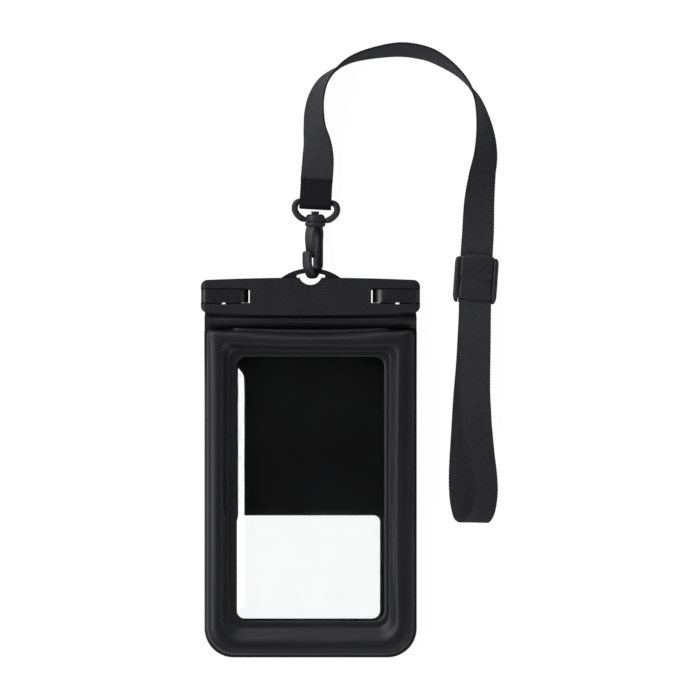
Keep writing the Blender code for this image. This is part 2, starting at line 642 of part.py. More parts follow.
def build_hook():
    bend = [(HOOK_BEND_MID - HOOK_BEND_HALF * rounder(math.cos(a)), HOOK_BEND_Y - HOOK_BEND_DEEP * rounder(math.sin(a)))
            for a in (math.radians(mix(0, 180, i / 14)) for i in range(15))]
    points = ([(u * MM, y * MM) for u, y in HOOK_SHANK] + bend + [(u * MM, y * MM) for u, y in HOOK_TIP])
    wire = ribbon("hook_wire", hook_stations(points), HOOK_WIDTH, HOOK_THICK, None)
    bevel(wire, 1.1 * MM)
    body = turned("hook_body", STEM, HOOK_BLACK, False)
    join(body, wire)
    gate = ribbon("hook_gate", hook_stations([(u * MM, y * MM) for u, y in GATE]), HOOK_WIDTH * 0.92,
                  GATE_THICK, HOOK_BLACK)
    bevel(gate, 0.6 * MM)


def build_ring():
    side = [(x * MM, y * MM) for x, y in RING_SIDE]
    path = ([(RING_X - x, y, HOOK_Z) for x, y in reversed(side)] + [(RING_X + x, y, HOOK_Z) for x, y in side])
    wire = tube("ring_wire", path, RING_WIRE, None)
    hub = turned("swivel_ring", HUB, HOOK_BLACK, True)
    join(hub, wire)


# Strap, slider and stitching

def build_strap_eye():
    """The strap's end, folded round the ring's bar and sewn to itself."""
    around = RING_WIRE + 1.5 * GAP + STRAP_THICK / 2
    side = [(y * MM, off * MM) for y, off in EYE_SIDE]
    turn = [(RING_BAR_Y - around * math.sin(a), around * math.cos(a))
            for a in (math.radians(mix(0, 180, i / 10)) for i in range(11))]
    path = side + turn + [(y, -off) for y, off in reversed(side)]
    stations = [(Vector((EYE_X, y, HOOK_Z + off)), Vector((1, 0, 0))) for y, off in path]
    ribbon("strap_eye", stations, STRAP_WIDTH, STRAP_THICK, WEBBING)


def smooth_route(points, step):
    """Points every step along a smooth curve through the given ones (Catmull-Rom)."""
    ends = [points[0]] + list(points) + [points[-1]]
    route = []
    for before, start, end, after in zip(ends, ends[1:], ends[2:], ends[3:]):
        length = math.dist(start[:3], end[:3])
        count = max(1, round(length / step))
        for i in range(count):
            t = i / count
            route.append(tuple(
                0.5 * (2 * b + (c - a) * t + (2 * a - 5 * b + 4 * c - d) * t * t
                       + (3 * b - a - 3 * c + d) * t ** 3)
                for a, b, c, d in zip(before, start, end, after)))
    route.append(tuple(points[-1]))
    return route


def slider_point(v, z):
    """A point on the slider's long middle line, v from its centre."""
    return (SLIDER_X + v * math.sin(SLIDER_LEAN), SLIDER_Y + v * math.cos(SLIDER_LEAN), z)


def strap_stations():
    """The strap's middle line and the direction across it, from the ring to its sewn end."""
    route = [(x * MM, y * MM, z * MM, math.radians(lean)) for x, y, z, lean in STRAP_ARCH + STRAP_LOOP]
    arch = smooth_route(route, STRAP_STEP)
    wrap = SLIDER_BAR + GAP + STRAP_THICK / 2
    turn = [(*slider_point(wrap * math.sin(a), SLIDER_BAR_Z - wrap * math.cos(a)), 0)
            for a in (math.radians(mix(0, 180, i / 8)) for i in range(9))]
    tail_z = 1.0 * MM + STRAP_THICK + GAP
    tail = [(*slider_point(v, z), 0) for v, z in ((-3.0 * MM, mix(tail_z, SLIDER_BAR_Z + wrap, 0.7)),
                                                 (-6.5 * MM, mix(tail_z, SLIDER_BAR_Z + wrap, 0.15)),
                                                 (-9.5 * MM, tail_z), (TAIL_END, tail_z))]
    path = arch + turn + tail
    slider_across = Vector((-math.cos(SLIDER_LEAN), math.sin(SLIDER_LEAN), 0))
    stations = []
    past_slider = False
    for index, (x, y, z, lean) in enumerate(path):
        before, after = path[max(index - 1, 0)], path[min(index + 1, len(path) - 1)]
        along = (Vector(after[:3]) - Vector(before[:3])).normalized()
        past_slider = past_slider or (x > SLIDER_X - MM and y < SLIDER_Y + 15 * MM)
        level = slider_across if past_slider else Vector((along.y, -along.x, 0)).normalized()
        across = level * math.cos(lean) + Vector((0, 0, math.sin(lean)))
        across = (across - along * across.dot(along)).normalized()
        face = along.cross(across)
        reach = abs(across.z) * STRAP_WIDTH / 2 + abs(face.z) * STRAP_THICK / 2
        stations.append((Vector((x, y, max(z, reach + GAP))), across))
    return stations


def build_strap():
    stations = strap_stations()
    ribbon("strap", stations, STRAP_WIDTH, STRAP_THICK, WEBBING)
    run = sum((a[0] - b[0]).length for a, b in zip(stations, stations[1:]))
    print(f"strap beyond its eye: {run * 1000:.0f} mm")


def build_slider():
    """Rails at both sides, a bowed plate in front and a bar behind, moulded in one."""
    stand = Matrix.Translation((SLIDER_X, SLIDER_Y, 0)) @ Matrix.Rotation(-SLIDER_LEAN, 4, "Z")
    rail = rounded_outline(RAIL_LOW, RAIL_HIGH, 0, RAIL_TOP, RAIL_CORNER, RAIL_CORNER, 4, (0, 0, 0, 0))
    on_side = Matrix.Rotation(math.radians(90), 4, "Z") @ Matrix.Rotation(math.radians(90), 4, "X")
    rails = [plate("slider" if low < 0 else "slider_right_rail", rail, low, low + RAIL_OUTER - RAIL_INNER,
                   HOOK_BLACK if low < 0 else None, on_side) for low in (-RAIL_OUTER, RAIL_INNER)]
    for made in rails:
        bevel(made, 0.7 * MM)

    def place(side, index):
        v, z = PLATE[index]
        lift = PLATE_ARCH * (1 - side * side)
        stretch = lift if index == len(PLATE) - 1 else 0
        return Vector((side * (RAIL_INNER + 1.0 * MM), v * MM + stretch, z * MM + 0.4 * lift))

    plate_piece = sheet("slider_plate", [-1, -0.6, -0.2, 0.2, 0.6, 1], range(len(PLATE)), place, PLATE_THICK,
                        None)
    bar = rod("slider_bar", SLIDER_BAR, (-RAIL_INNER - MM, 0, SLIDER_BAR_Z), (RAIL_INNER + MM, 0, SLIDER_BAR_Z),
              sides=16)
    join(rails[0], rails[1], plate_piece, bar)
    for made in (*rails, plate_piece, bar):
        made.matrix_world = stand
    smooth_shaded(rails[0])


def build_stitching():
    """A zigzag of thread across the strap's eye, and one across its other sewn end."""
    count = 16
    half = STRAP_WIDTH / 2 - 1.2 * MM
    eye_z = HOOK_Z + 0.8 * MM + STRAP_THICK / 2 + GAP + STITCH
    tail_z = 1.0 * MM + STRAP_THICK + GAP + STRAP_THICK / 2 + GAP + STITCH
    eye, tail = [], []
    for i in range(count + 1):
        offset = mix(-half, half, i / count)
        zigzag = 0.5 * MM * (-1) ** i
        eye.append((EYE_X + offset, EYE_SEAM_Y + zigzag, eye_z))
        x, y, _ = slider_point(TAIL_END + 2.0 * MM + zigzag, 0)
        tail.append((x + offset, y, tail_z))
    tube("eye_stitching", eye, STITCH, THREAD, 1)
    tube("tail_stitching", tail, STITCH, THREAD, 1)


build_air_frame()
build_back_skin()
build_windows()
build_front_neck()
build_front_bar()
build_back_bar()
build_seals()
build_latches()
build_hook()
build_ring()
build_strap_eye()
build_strap()
build_slider()
build_stitching()
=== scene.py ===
# %% [markdown]
# # A waterproof phone case, lying on its back
#
# This lesson dresses a floating phone pouch: a puffed black frame round a clear window, a hard clamp
# bar with two end latches, and a webbing lanyard on a swivel hook. The plain solids of every piece are
# loaded first and never moved. Each cell then makes one piece or one finish on top of them. Every
# length is written in millimetres and multiplied by MM, because Blender counts in metres.

import json
import math

import bmesh
import bpy
from mathutils import Matrix, Vector, noise

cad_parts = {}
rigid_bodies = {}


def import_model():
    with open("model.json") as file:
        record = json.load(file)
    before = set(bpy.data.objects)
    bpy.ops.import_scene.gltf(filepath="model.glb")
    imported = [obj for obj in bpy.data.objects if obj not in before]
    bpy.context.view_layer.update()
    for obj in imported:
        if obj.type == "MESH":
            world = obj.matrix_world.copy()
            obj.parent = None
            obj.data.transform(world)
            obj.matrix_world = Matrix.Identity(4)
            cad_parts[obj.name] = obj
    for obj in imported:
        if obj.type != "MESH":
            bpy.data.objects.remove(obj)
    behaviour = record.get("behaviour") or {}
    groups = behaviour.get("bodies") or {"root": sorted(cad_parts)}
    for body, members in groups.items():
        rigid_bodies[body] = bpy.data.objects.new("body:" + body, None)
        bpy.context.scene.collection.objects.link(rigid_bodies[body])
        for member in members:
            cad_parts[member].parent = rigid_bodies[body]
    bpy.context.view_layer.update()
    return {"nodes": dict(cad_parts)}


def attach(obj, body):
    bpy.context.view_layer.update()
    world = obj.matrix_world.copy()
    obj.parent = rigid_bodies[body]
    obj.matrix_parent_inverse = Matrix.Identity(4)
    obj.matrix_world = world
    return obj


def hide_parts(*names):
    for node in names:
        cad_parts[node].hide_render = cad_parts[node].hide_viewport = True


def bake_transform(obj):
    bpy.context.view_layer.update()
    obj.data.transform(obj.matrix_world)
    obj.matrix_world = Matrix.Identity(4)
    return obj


for leftover in list(bpy.data.objects):
    bpy.data.objects.remove(leftover, do_unlink=True)
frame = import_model()
MM = 0.001

# %% [markdown]
# ## The camera
#
# The case was photographed from straight above with a long lens, so that its sides stay parallel. A
# short lens close by would show the outer walls of the frame. Here a long lens stands well above the
# case, and its angle is worked out from the width that the picture covers.

# %% Camera
PICTURE_WIDE = 406.0 * MM
PICTURE_MIDDLE = Vector((22.9, 68.4, 8.0)) * MM
CAMERA_AWAY = 2.6

camera_data = bpy.data.cameras.new("camera")
camera_data.sensor_width = 36.0
camera_data.lens = 36.0 * CAMERA_AWAY / PICTURE_WIDE
camera_data.clip_end = 50
camera = bpy.data.objects.new("camera", camera_data)
camera.location = PICTURE_MIDDLE + Vector((0, 0, CAMERA_AWAY))
bpy.context.scene.collection.objects.link(camera)
bpy.context.scene.camera = camera
print(f"lens: {camera_data.lens:.0f} mm")

# %% [markdown]
# ## A short way to build nodes
#
# Every finish, the floor and the world are charts of nodes. Here each node is one call that says what
# goes into its sockets, a plain value or what another node gives out, so a chart reads downwards.

# %% Nodes
def node(tree, kind, *feeds, **settings):
    """Adds a node. Each feed is a socket's name or place with a value or another node's output."""
    made = tree.nodes.new(kind)
    for key, value in settings.items():
        setattr(made, key, value)
    for place, value in feeds:
        if isinstance(value, bpy.types.NodeSocket):
            tree.links.new(value, made.inputs[place])
        else:
            made.inputs[place].default_value = value
    return made


def maths(tree, operation, *values):
    """A Math node; each value is a socket or a number."""
    return node(tree, "ShaderNodeMath", *enumerate(values), operation=operation).outputs[0]


def spread(tree, value, low, high, to_low=0.0, to_high=1.0):
    """Stretches the part of a value between low and high to a new range, with soft ends."""
    feeds = enumerate((value, low, high, to_low, to_high))
    return node(tree, "ShaderNodeMapRange", *feeds, interpolation_type="SMOOTHSTEP").outputs[0]


def cloudy(tree, place, scale, detail=2.0, rough=0.5):
    """Soft noise, with its scale in waves per metre."""
    feeds = (("Vector", place), ("Scale", scale), ("Detail", detail), ("Roughness", rough))
    return node(tree, "ShaderNodeTexNoise", *feeds).outputs["Fac"]


def object_place(tree):
    return node(tree, "ShaderNodeTexCoord").outputs["Object"]


def blended(tree, share, first, second):
    """A shader that goes from the first to the second as the share goes from 0 to 1."""
    return node(tree, "ShaderNodeMixShader", (0, share), (1, first), (2, second)).outputs[0]


def bare_tree(owner):
    """Empties the node tree of a material or world."""
    owner.use_nodes = True
    owner.node_tree.nodes.clear()
    return owner.node_tree


# %% [markdown]
# ## The floor and the light
#
# A black object shows its shape by what it mirrors. A long lamp at the left gives the window its bright
# edge, broad soft lamps all round light the film and the webbing, and the ceiling above the camera is
# dark, so that flat clear film stays black. The floor is white to the camera's rays whatever falls on
# it, except for a share that still takes light, and that share keeps the soft shadow.

# %% Floor and world
def seen_straight(tree, path):
    """A value that is 1 for what the camera sees, directly or through clear film, and 0 for rays that have
    already bounced off a surface, so that the white backdrop adds no light to what lies under the film."""
    seen = maths(tree, "MAXIMUM", path["Is Camera Ray"], path["Is Transmission Ray"])
    bounces = maths(tree, "ADD", path["Diffuse Depth"], path["Glossy Depth"])
    return maths(tree, "MULTIPLY", seen, maths(tree, "LESS_THAN", bounces, 0.5))


GLOW, GLOW_SHARE, MORE_THROUGH_FILM = 1.12, 0.86, 0.14
DARK_FROM, DARK_ABOVE = 0.56, 0.90
WALL_LIGHT, CEILING_LIGHT = 0.38, 0.013

floor_mesh = bpy.data.meshes.new("floor")
floor_corners = [(x, y, -0.1 * MM) for x, y in ((-4, -4), (4, -4), (4, 4), (-4, 4))]
floor_mesh.from_pydata(floor_corners, [], [(0, 1, 2, 3)])
floor = bpy.data.objects.new("floor", floor_mesh)
bpy.context.scene.collection.objects.link(floor)
floor_material = bpy.data.materials.new("pale_floor")
floor_mesh.materials.append(floor_material)
tree = bare_tree(floor_material)
path = node(tree, "ShaderNodeLightPath").outputs
fuller = maths(tree, "MULTIPLY_ADD", path["Is Transmission Ray"], MORE_THROUGH_FILM, GLOW_SHARE)
share = maths(tree, "MULTIPLY", seen_straight(tree, path), fuller)
diffuse = node(tree, "ShaderNodeBsdfDiffuse", ("Color", (0.6, 0.6, 0.6, 1))).outputs[0]
glow = node(tree, "ShaderNodeEmission", ("Color", (1, 1, 1, 1)), ("Strength", GLOW)).outputs[0]
node(tree, "ShaderNodeOutputMaterial", ("Surface", blended(tree, share, diffuse, glow)))

world = bpy.data.worlds.new("studio")
bpy.context.scene.world = world
tree = bare_tree(world)
ray = node(tree, "ShaderNodeTexCoord").outputs["Generated"]
upward = node(tree, "ShaderNodeSeparateXYZ", (0, ray)).outputs["Z"]
strength = spread(tree, upward, DARK_FROM, DARK_ABOVE, WALL_LIGHT, CEILING_LIGHT)
dim = node(tree, "ShaderNodeBackground", ("Color", (0.94, 0.97, 1.0, 1)), ("Strength", strength)).outputs[0]
white = node(tree, "ShaderNodeBackground", ("Color", (1, 1, 1, 1)), ("Strength", 1.0)).outputs[0]
seen = seen_straight(tree, node(tree, "ShaderNodeLightPath").outputs)
node(tree, "ShaderNodeOutputWorld", ("Surface", blended(tree, seen, dim, white)))
bpy.context.scene.view_settings.view_transform = "Standard"

# %% Lamps
def softbox(name, place, wide, high, watts):
    """A rectangular lamp that faces the middle of the case."""
    data = bpy.data.lights.new(name, "AREA")
    data.shape = "RECTANGLE"
    data.size, data.size_y = wide, high
    data.energy = watts
    lamp = bpy.data.objects.new(name, data)
    lamp.location = place
    aim = Vector((0.02, 0.04, 0)) - Vector(place)
    lamp.rotation_euler = aim.to_track_quat("-Z", "Y").to_euler()
    lamp.visible_camera = False
    bpy.context.scene.collection.objects.link(lamp)
    return lamp


softbox("left_long_lamp", (-1.06, 0.0, 1.08), 1.0, 0.24, 10)
softbox("corner_softbox", (-1.05, 1.1, 0.95), 0.6, 0.6, 16)
softbox("right_softbox", (1.5, 0.1, 0.6), 0.9, 0.5, 1.2)
softbox("upper_softbox", (-0.1, 1.5, 0.8), 1.2, 0.4, 5)
softbox("lower_softbox", (0.0, -1.5, 0.95), 1.5, 0.9, 3.5)
softbox("front_softbox", (1.0, -1.0, 1.0), 0.8, 0.8, 5.5)

# %% [markdown]
# ## Effects that several finishes share
#
# Grain, soft waves, weave and handling marks each become a node group with its own inputs, so that one
# group can serve several materials at different sizes. The groups read the object's own coordinates in
# metres, and so a grain of 0.3 mm stays 0.3 mm on every piece. They only give out masks and heights,
# and the shader that uses them stays in each material.

# %% A builder for node groups
def new_group(name, inputs):
    """A shader node group; the inputs are names with their values. It gives the group and what goes in."""
    group = bpy.data.node_groups.new(name, "ShaderNodeTree")
    for label, value in inputs.items():
        group.interface.new_socket(label, in_out="INPUT", socket_type="NodeSocketFloat").default_value = value
    return group, node(group, "NodeGroupInput").outputs


def give_out(group, outputs):
    """Names what the group gives out and feeds it."""
    for label in outputs:
        group.interface.new_socket(label, in_out="OUTPUT", socket_type="NodeSocketFloat")
    node(group, "NodeGroupOutput", *outputs.items())
    return group


# %% Moulded grain, for hard and soft plastics
tree, given = new_group("moulded_grain", {"Cells per Metre": 2400.0})
place = object_place(tree)
grain_group = give_out(tree, {
    "Height": spread(tree, cloudy(tree, place, given["Cells per Metre"], 3.0, 0.6), 0.3, 0.7),
    "Mottle": spread(tree, cloudy(tree, place, 90.0, 3.0), 0.3, 0.7)})

# %% Soft waves, for films that are welded and blown up
tree, given = new_group("film_waves", {"Waves per Metre": 45.0})
place = object_place(tree)
broad = cloudy(tree, place, given["Waves per Metre"], 1.0)
waves_group = give_out(tree, {
    "Height": maths(tree, "MULTIPLY_ADD", cloudy(tree, place, 1500.0), 0.06, broad),
    "Cloud": cloudy(tree, place, 25.0, 3.0)})

# %% Handling marks, for edges that rub and faces that are wiped
tree, given = new_group("handling_marks", {"Scratch Scale": 260.0})
place = object_place(tree)
sharp = spread(tree, node(tree, "ShaderNodeNewGeometry").outputs["Pointiness"], 0.52, 0.62)
patchy = spread(tree, cloudy(tree, place, 180.0, 3.0, 0.7), 0.35, 0.7)
stretched = node(tree, "ShaderNodeMapping", ("Vector", place), ("Rotation", (0.0, 0.0, 0.7)),
                 ("Scale", (1.0, 0.08, 1.0))).outputs[0]
specks = node(tree, "ShaderNodeTexVoronoi", ("Vector", place), ("Scale", 420.0)).outputs["Distance"]
some = spread(tree, cloudy(tree, place, 60.0), 0.56, 0.66)
wear_group = give_out(tree, {
    "Edges": maths(tree, "MULTIPLY", sharp, patchy),
    "Scuffs": spread(tree, cloudy(tree, stretched, given["Scratch Scale"], 4.0), 0.55, 0.75),
    "Dust": maths(tree, "MULTIPLY", spread(tree, specks, 0.03, 0.07, 1.0, 0.0), some)})

# %% [markdown]
# Webbing is woven from thick yarns that run along the strap, and each floats over a few cross yarns
# before it dips under one. A picture of cloth could be wrapped on, but it would need a file and would
# blur close up. The group below draws rows of long bumps instead, each row shifted by half a bump
# against the next, from the distance across and along the strap that the strap's mesh carries.

# %% The weave of the webbing
tree, given = new_group("webbing_weave", {"Yarn Width mm": 0.62, "Float Length mm": 1.9})
lie = node(tree, "ShaderNodeUVMap", uv_map="lie").outputs[0]
parts = node(tree, "ShaderNodeSeparateXYZ", (0, lie)).outputs
across_mm, along_mm = (maths(tree, "MULTIPLY", parts[axis], 1000.0) for axis in (0, 1))
across = maths(tree, "DIVIDE", across_mm, given["Yarn Width mm"])
row = maths(tree, "FLOOR", across)
shifted = maths(tree, "MULTIPLY_ADD", row, 0.5, maths(tree, "DIVIDE", along_mm, given["Float Length mm"]))
dome_across, dome_along = (maths(tree, "SINE", maths(tree, "MULTIPLY", maths(tree, "FRACT", value), math.pi))
                           for value in (across, shifted))
bump_height = maths(tree, "MULTIPLY", dome_across, maths(tree, "POWER", dome_along, 0.6))
cell = node(tree, "ShaderNodeCombineXYZ", (0, row), (1, maths(tree, "FLOOR", shifted))).outputs[0]
yarn_tint = node(tree, "ShaderNodeTexWhiteNoise", ("Vector", cell), noise_dimensions="2D").outputs["Value"]
weave_group = give_out(tree, {
    "Height": bump_height,
    # Painted shade: the hollows between the yarns are coloured darker.
    "Gap": spread(tree, bump_height, 0.15, 0.55, 1.0, 0.0),
    "Yarn Tint": yarn_tint,
    # The band along both edges of the webbing, which is coloured darker.
    "Selvedge": spread(tree, maths(tree, "ABSOLUTE", across_mm), 8.55, 9.2)})
print("groups:", [group.name for group in bpy.data.node_groups])

# %% [markdown]
# ## The finishes
#
# Everything here is black, and a black piece is told from its neighbour by gloss and grain alone. The
# film of the pouch is satin, the clamp bar has a fine grain, the latches shine, and the webbing is dull.
# Each finish mixes two near blacks by a mask and lets the same masks move its roughness.

# %% A builder for materials
def finish(name, colour, roughness, **sockets):
    """A material with its shader; sockets are named with underscores."""
    made = bpy.data.materials.new(name)
    made.use_nodes = True
    shader = made.node_tree.nodes["Principled BSDF"].inputs
    shader["Base Color"].default_value = (*colour, 1)
    shader["Roughness"].default_value = roughness
    for label, value in sockets.items():
        shader[label.replace("_", " ")].default_value = value
    return made, made.node_tree, shader


def use_group(tree, group, **values):
    feeds = [(label.replace("_", " "), value) for label, value in values.items()]
    return node(tree, "ShaderNodeGroup", *feeds, node_tree=group).outputs


def tinted(tree, mask, plain, marked):
    """One colour where the mask is 0 and another where it is 1; each is three numbers or a socket."""
    first, second = (c if isinstance(c, bpy.types.NodeSocket) else (*c, 1) for c in (plain, marked))
    return node(tree, "ShaderNodeMix", (0, mask), (6, first), (7, second), data_type="RGBA").outputs[2]


def marked_by(tree, mask, share, colour, mark):
    """A colour with part of a mask laid over it in another colour."""
    return tinted(tree, maths(tree, "MULTIPLY", mask, share), colour, mark)


def wired(tree, shader, colour, height, depth, strength, roughness=None):
    """Feeds the shader its colour, its roughness and a bump whose depth is in metres for a height of 1."""
    bump = node(tree, "ShaderNodeBump", ("Height", height), ("Distance", depth), ("Strength", strength))
    for label, value in (("Base Color", colour), ("Normal", bump.outputs[0]), ("Roughness", roughness)):
        if value is not None:
            tree.links.new(value, shader[label])


# %% Black film and clear film
def black_film(name, dark, light, low, high, specular, underside=None):
    """Film that is satin all over and clouded a little, as welded vinyl is. Its underside can have two
    tones of its own."""
    made, tree, shader = finish(name, dark, (low + high) / 2, Specular_IOR_Level=specular)
    waves = use_group(tree, waves_group, Waves_per_Metre=55.0)
    dust = use_group(tree, wear_group, Scratch_Scale=200.0)["Dust"]
    colour = marked_by(tree, dust, 0.2, tinted(tree, waves["Cloud"], dark, light), (0.08, 0.08, 0.08))
    if underside:
        outward = node(tree, "ShaderNodeTexCoord").outputs["Normal"]
        upward = node(tree, "ShaderNodeSeparateXYZ", (0, outward)).outputs["Z"]
        colour = tinted(tree, maths(tree, "LESS_THAN", upward, -0.3), colour,
                        tinted(tree, waves["Cloud"], *underside))
    roughness = spread(tree, waves["Cloud"], 0.3, 0.7, low, high)
    wired(tree, shader, colour, waves["Height"], 0.35 * MM, 0.5, roughness)
    return made


BLACK_FILM = black_film("satin_black_film", (0.0068, 0.0068, 0.0080), (0.0098, 0.0098, 0.0112), 0.42, 0.49, 0.30)
BACK_FILM = black_film("back_black_film", (0.0014, 0.0014, 0.0016), (0.0022, 0.0022, 0.0025), 0.50, 0.58, 0.04,
                       underside=((0.009, 0.009, 0.0102), (0.014, 0.014, 0.0155)))

CLEAR_FILM, tree, shader = finish("clear_film", (0.992, 0.996, 0.994), 0.06, IOR=1.52, Transmission_Weight=1.0)
waves = use_group(tree, waves_group, Waves_per_Metre=30.0)
wired(tree, shader, None, waves["Height"], 0.5 * MM, 0.12, spread(tree, waves["Cloud"], 0.3, 0.7, 0.05, 0.11))
clear = node(tree, "ShaderNodeBsdfTransparent", ("Color", (0.96, 0.97, 0.97, 1))).outputs[0]
shadow_ray = node(tree, "ShaderNodeLightPath").outputs["Is Shadow Ray"]
film = tree.nodes["Principled BSDF"].outputs[0]
tree.links.new(blended(tree, shadow_ray, film, clear), tree.nodes["Material Output"].inputs["Surface"])

# %% Plastics of the bar, the latches and the hook
def black_plastic(name, dark, light, low, high, cells, depth, edge_wear, specular):
    """Moulded plastic: two near blacks by its grain, rubbed edges, dust and wiped streaks."""
    made, tree, shader = finish(name, dark, (low + high) / 2, Specular_IOR_Level=specular)
    grain = use_group(tree, grain_group, Cells_per_Metre=cells)
    marks = use_group(tree, wear_group, Scratch_Scale=320.0)
    base = tinted(tree, grain["Height"], dark, light)
    worn = marked_by(tree, marks["Edges"], edge_wear, base, (0.075, 0.075, 0.08))
    dusty = marked_by(tree, marks["Dust"], 0.22, worn, (0.12, 0.12, 0.12))
    rubbed = maths(tree, "MULTIPLY", marks["Scuffs"], -0.06)
    roughness = maths(tree, "ADD", spread(tree, grain["Mottle"], 0.0, 1.0, low, high), rubbed)
    wired(tree, shader, dusty, grain["Height"], depth, 0.6, roughness)
    return made


BAR_PLASTIC = black_plastic("grained_black_plastic", (0.006, 0.006, 0.0070), (0.0165, 0.0165, 0.0182), 0.47, 0.52,
                            1150.0, 0.09 * MM, 0.0, 0.26)
LATCH_PLASTIC = black_plastic("shiny_latch_plastic", (0.010, 0.010, 0.011), (0.017, 0.017, 0.0183), 0.28, 0.35,
                              1500.0, 0.03 * MM, 0.0, 0.42)
HOOK_PLASTIC = black_plastic("satin_hook_plastic", (0.013, 0.013, 0.0145), (0.025, 0.025, 0.0272), 0.42, 0.50,
                             1300.0, 0.05 * MM, 0.3, 0.24)

# %% Webbing, thread, seal and steel
def webbing_finish(name, dark, light, specular, low, high, sheen):
    """Woven tape. The end that is folded round the ring takes a darker, smoother copy, whose darker yarns are
    painted shade.
    """
    made, tree, shader = finish(name, dark, (low + high) / 2, Specular_IOR_Level=specular,
                                Sheen_Weight=sheen, Sheen_Roughness=0.5, Sheen_Tint=(0.5, 0.5, 0.58, 1))
    weave = use_group(tree, weave_group)
    dust = use_group(tree, wear_group, Scratch_Scale=150.0)["Dust"]
    yarns = tinted(tree, weave["Yarn Tint"], dark, light)
    # Painted shade in the gaps between yarns.
    woven = tinted(tree, weave["Gap"], yarns, [0.33 * v for v in dark])
    # Darker along both edges of the webbing.
    edged = tinted(tree, weave["Selvedge"], woven, (0.0035, 0.0035, 0.0045))
    dusty = marked_by(tree, dust, 0.2, edged, (0.12, 0.12, 0.12))
    roughness = spread(tree, weave["Height"], 0.0, 1.0, high, low)
    wired(tree, shader, dusty, weave["Height"], 0.16 * MM, 0.7, roughness)
    return made


WEBBING = webbing_finish("black_webbing", (0.018, 0.018, 0.0208), (0.033, 0.033, 0.038), 0.3, 0.66, 0.9, 0.12)
# The copy for the strap's eye has darker yarns: painted shade over the folded end.
SHADED_WEBBING = webbing_finish("shaded_webbing", (0.006, 0.006, 0.007), (0.012, 0.012, 0.014), 0.12, 0.62, 0.75,
                                 0.02)

THREAD, tree, shader = finish("sewing_thread", (0.004, 0.004, 0.005), 0.6, Specular_IOR_Level=0.25)
strand = use_group(tree, grain_group, Cells_per_Metre=5200.0)["Height"]
wired(tree, shader, tinted(tree, strand, (0.002, 0.002, 0.0025), (0.007, 0.007, 0.008)), strand, 0.05 * MM, 0.6)

SEAL, tree, shader = finish("grey_seal_rubber", (0.05, 0.05, 0.055), 0.65, Specular_IOR_Level=0.35)
skin = use_group(tree, grain_group, Cells_per_Metre=1500.0)
wired(tree, shader, tinted(tree, skin["Mottle"], (0.042, 0.042, 0.046), (0.062, 0.062, 0.068)), skin["Height"],
      0.03 * MM, 0.4)

STEEL, tree, shader = finish("pin_steel", (0.045, 0.045, 0.05), 0.42, Metallic=1.0)
turned = use_group(tree, wear_group, Scratch_Scale=900.0)["Scuffs"]
tree.links.new(spread(tree, turned, 0.0, 1.0, 0.26, 0.4), shader["Roughness"])
tree.links.new(tinted(tree, turned, (0.05, 0.05, 0.055), (0.035, 0.035, 0.04)), shader["Base Color"])
print("finishes:", len(bpy.data.materials))

# %% [markdown]
# ## Tools for making meshes
#
# Most pieces here are one section carried along a path, so one builder joins rings of points into a
# closed skin. The rest are flat outlines with thickness, which a second builder makes from a filled
# curve. Both hand back an object whose mesh holds its place in metres, as the loaded solids do.

# %% Rings and outlines
def add_piece(name, mesh, material, body, slot, *stands_for):
    """Links a piece, gives it its finish, and makes it ride on its body in place of the plain solids."""
    piece = bpy.data.objects.new(name, mesh)
    bpy.context.scene.collection.objects.link(piece)
    mesh.materials.append(material)
    if body:
        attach(piece, body)
    if stands_for:
        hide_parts(*stands_for)
    return piece


def written(shape, mesh):
    """Writes an edited shape into a mesh and frees it."""
    shape.to_mesh(mesh)
    shape.free()
    return mesh


def mesh_of_rings(name, rings, loop=False, lie=None):
    """Joins rings of equal length, in millimetres. With loop the last ring meets the first, and otherwise
    both ends are closed. lie gives each point its place across and along, which is kept as a UV map."""
    count = len(rings[0])
    points = [Vector(point) * MM for ring in rings for point in ring]
    faces = []
    for index in range(len(rings) if loop else len(rings) - 1):
        here, there = index * count, (index + 1) % len(rings) * count
        for step in range(count):
            after = (step + 1) % count
            faces.append((here + step, here + after, there + after, there + step))
    if not loop:
        faces.append(tuple(reversed(range(count))))
        faces.append(tuple(range(len(points) - count, len(points))))
    mesh = bpy.data.meshes.new(name)
    mesh.from_pydata(points, [], faces)
    if lie:
        flat = [pair for ring in lie for pair in ring]
        layer = mesh.uv_layers.new(name="lie")
        for corner in mesh.loops:
            layer.data[corner.index].uv = flat[corner.vertex_index]
    shape = bmesh.new()
    shape.from_mesh(mesh)
    bmesh.ops.recalc_face_normals(shape, faces=shape.faces)
    written(shape, mesh).shade_smooth()
    return mesh


def joined(name, parts, stand=Matrix(), sharp_over=None):
    """One smooth mesh out of several, which are thrown away. stand puts it in its place."""
    shape = bmesh.new()
    for part in parts:
        shape.from_mesh(part)
        bpy.data.meshes.remove(part)
    shape.transform(stand)
    mesh = written(shape, bpy.data.meshes.new(name))
    mesh.shade_smooth()
    if sharp_over:
        mesh.set_sharp_from_angle(angle=math.radians(sharp_over))
    return mesh


def mix(a, b, t):
    return a + (b - a) * t


def part_way(value, low, high):
    """How far a value has come from low to high, as a share from 0 to 1."""
    return min(max((value - low) / (high - low), 0.0), 1.0)


def ease(value, low, high):
    t = part_way(value, low, high)
    return t * t * (3 - 2 * t)


def evenly(low, high, count):
    return [mix(low, high, i / count) for i in range(count + 1)]


def angles(start, end, count):
    """Angles in radians between two that are given in degrees."""
    return [math.radians(a) for a in evenly(start, end, count)]


def circle(count):
    return [2 * math.pi * i / count for i in range(count)]


def way_at(line, index):
    """The way that a line runs at one of its points."""
    before, after = line[max(index - 1, 0)], line[min(index + 1, len(line) - 1)]
    return (Vector(after[:3]) - Vector(before[:3])).normalized()


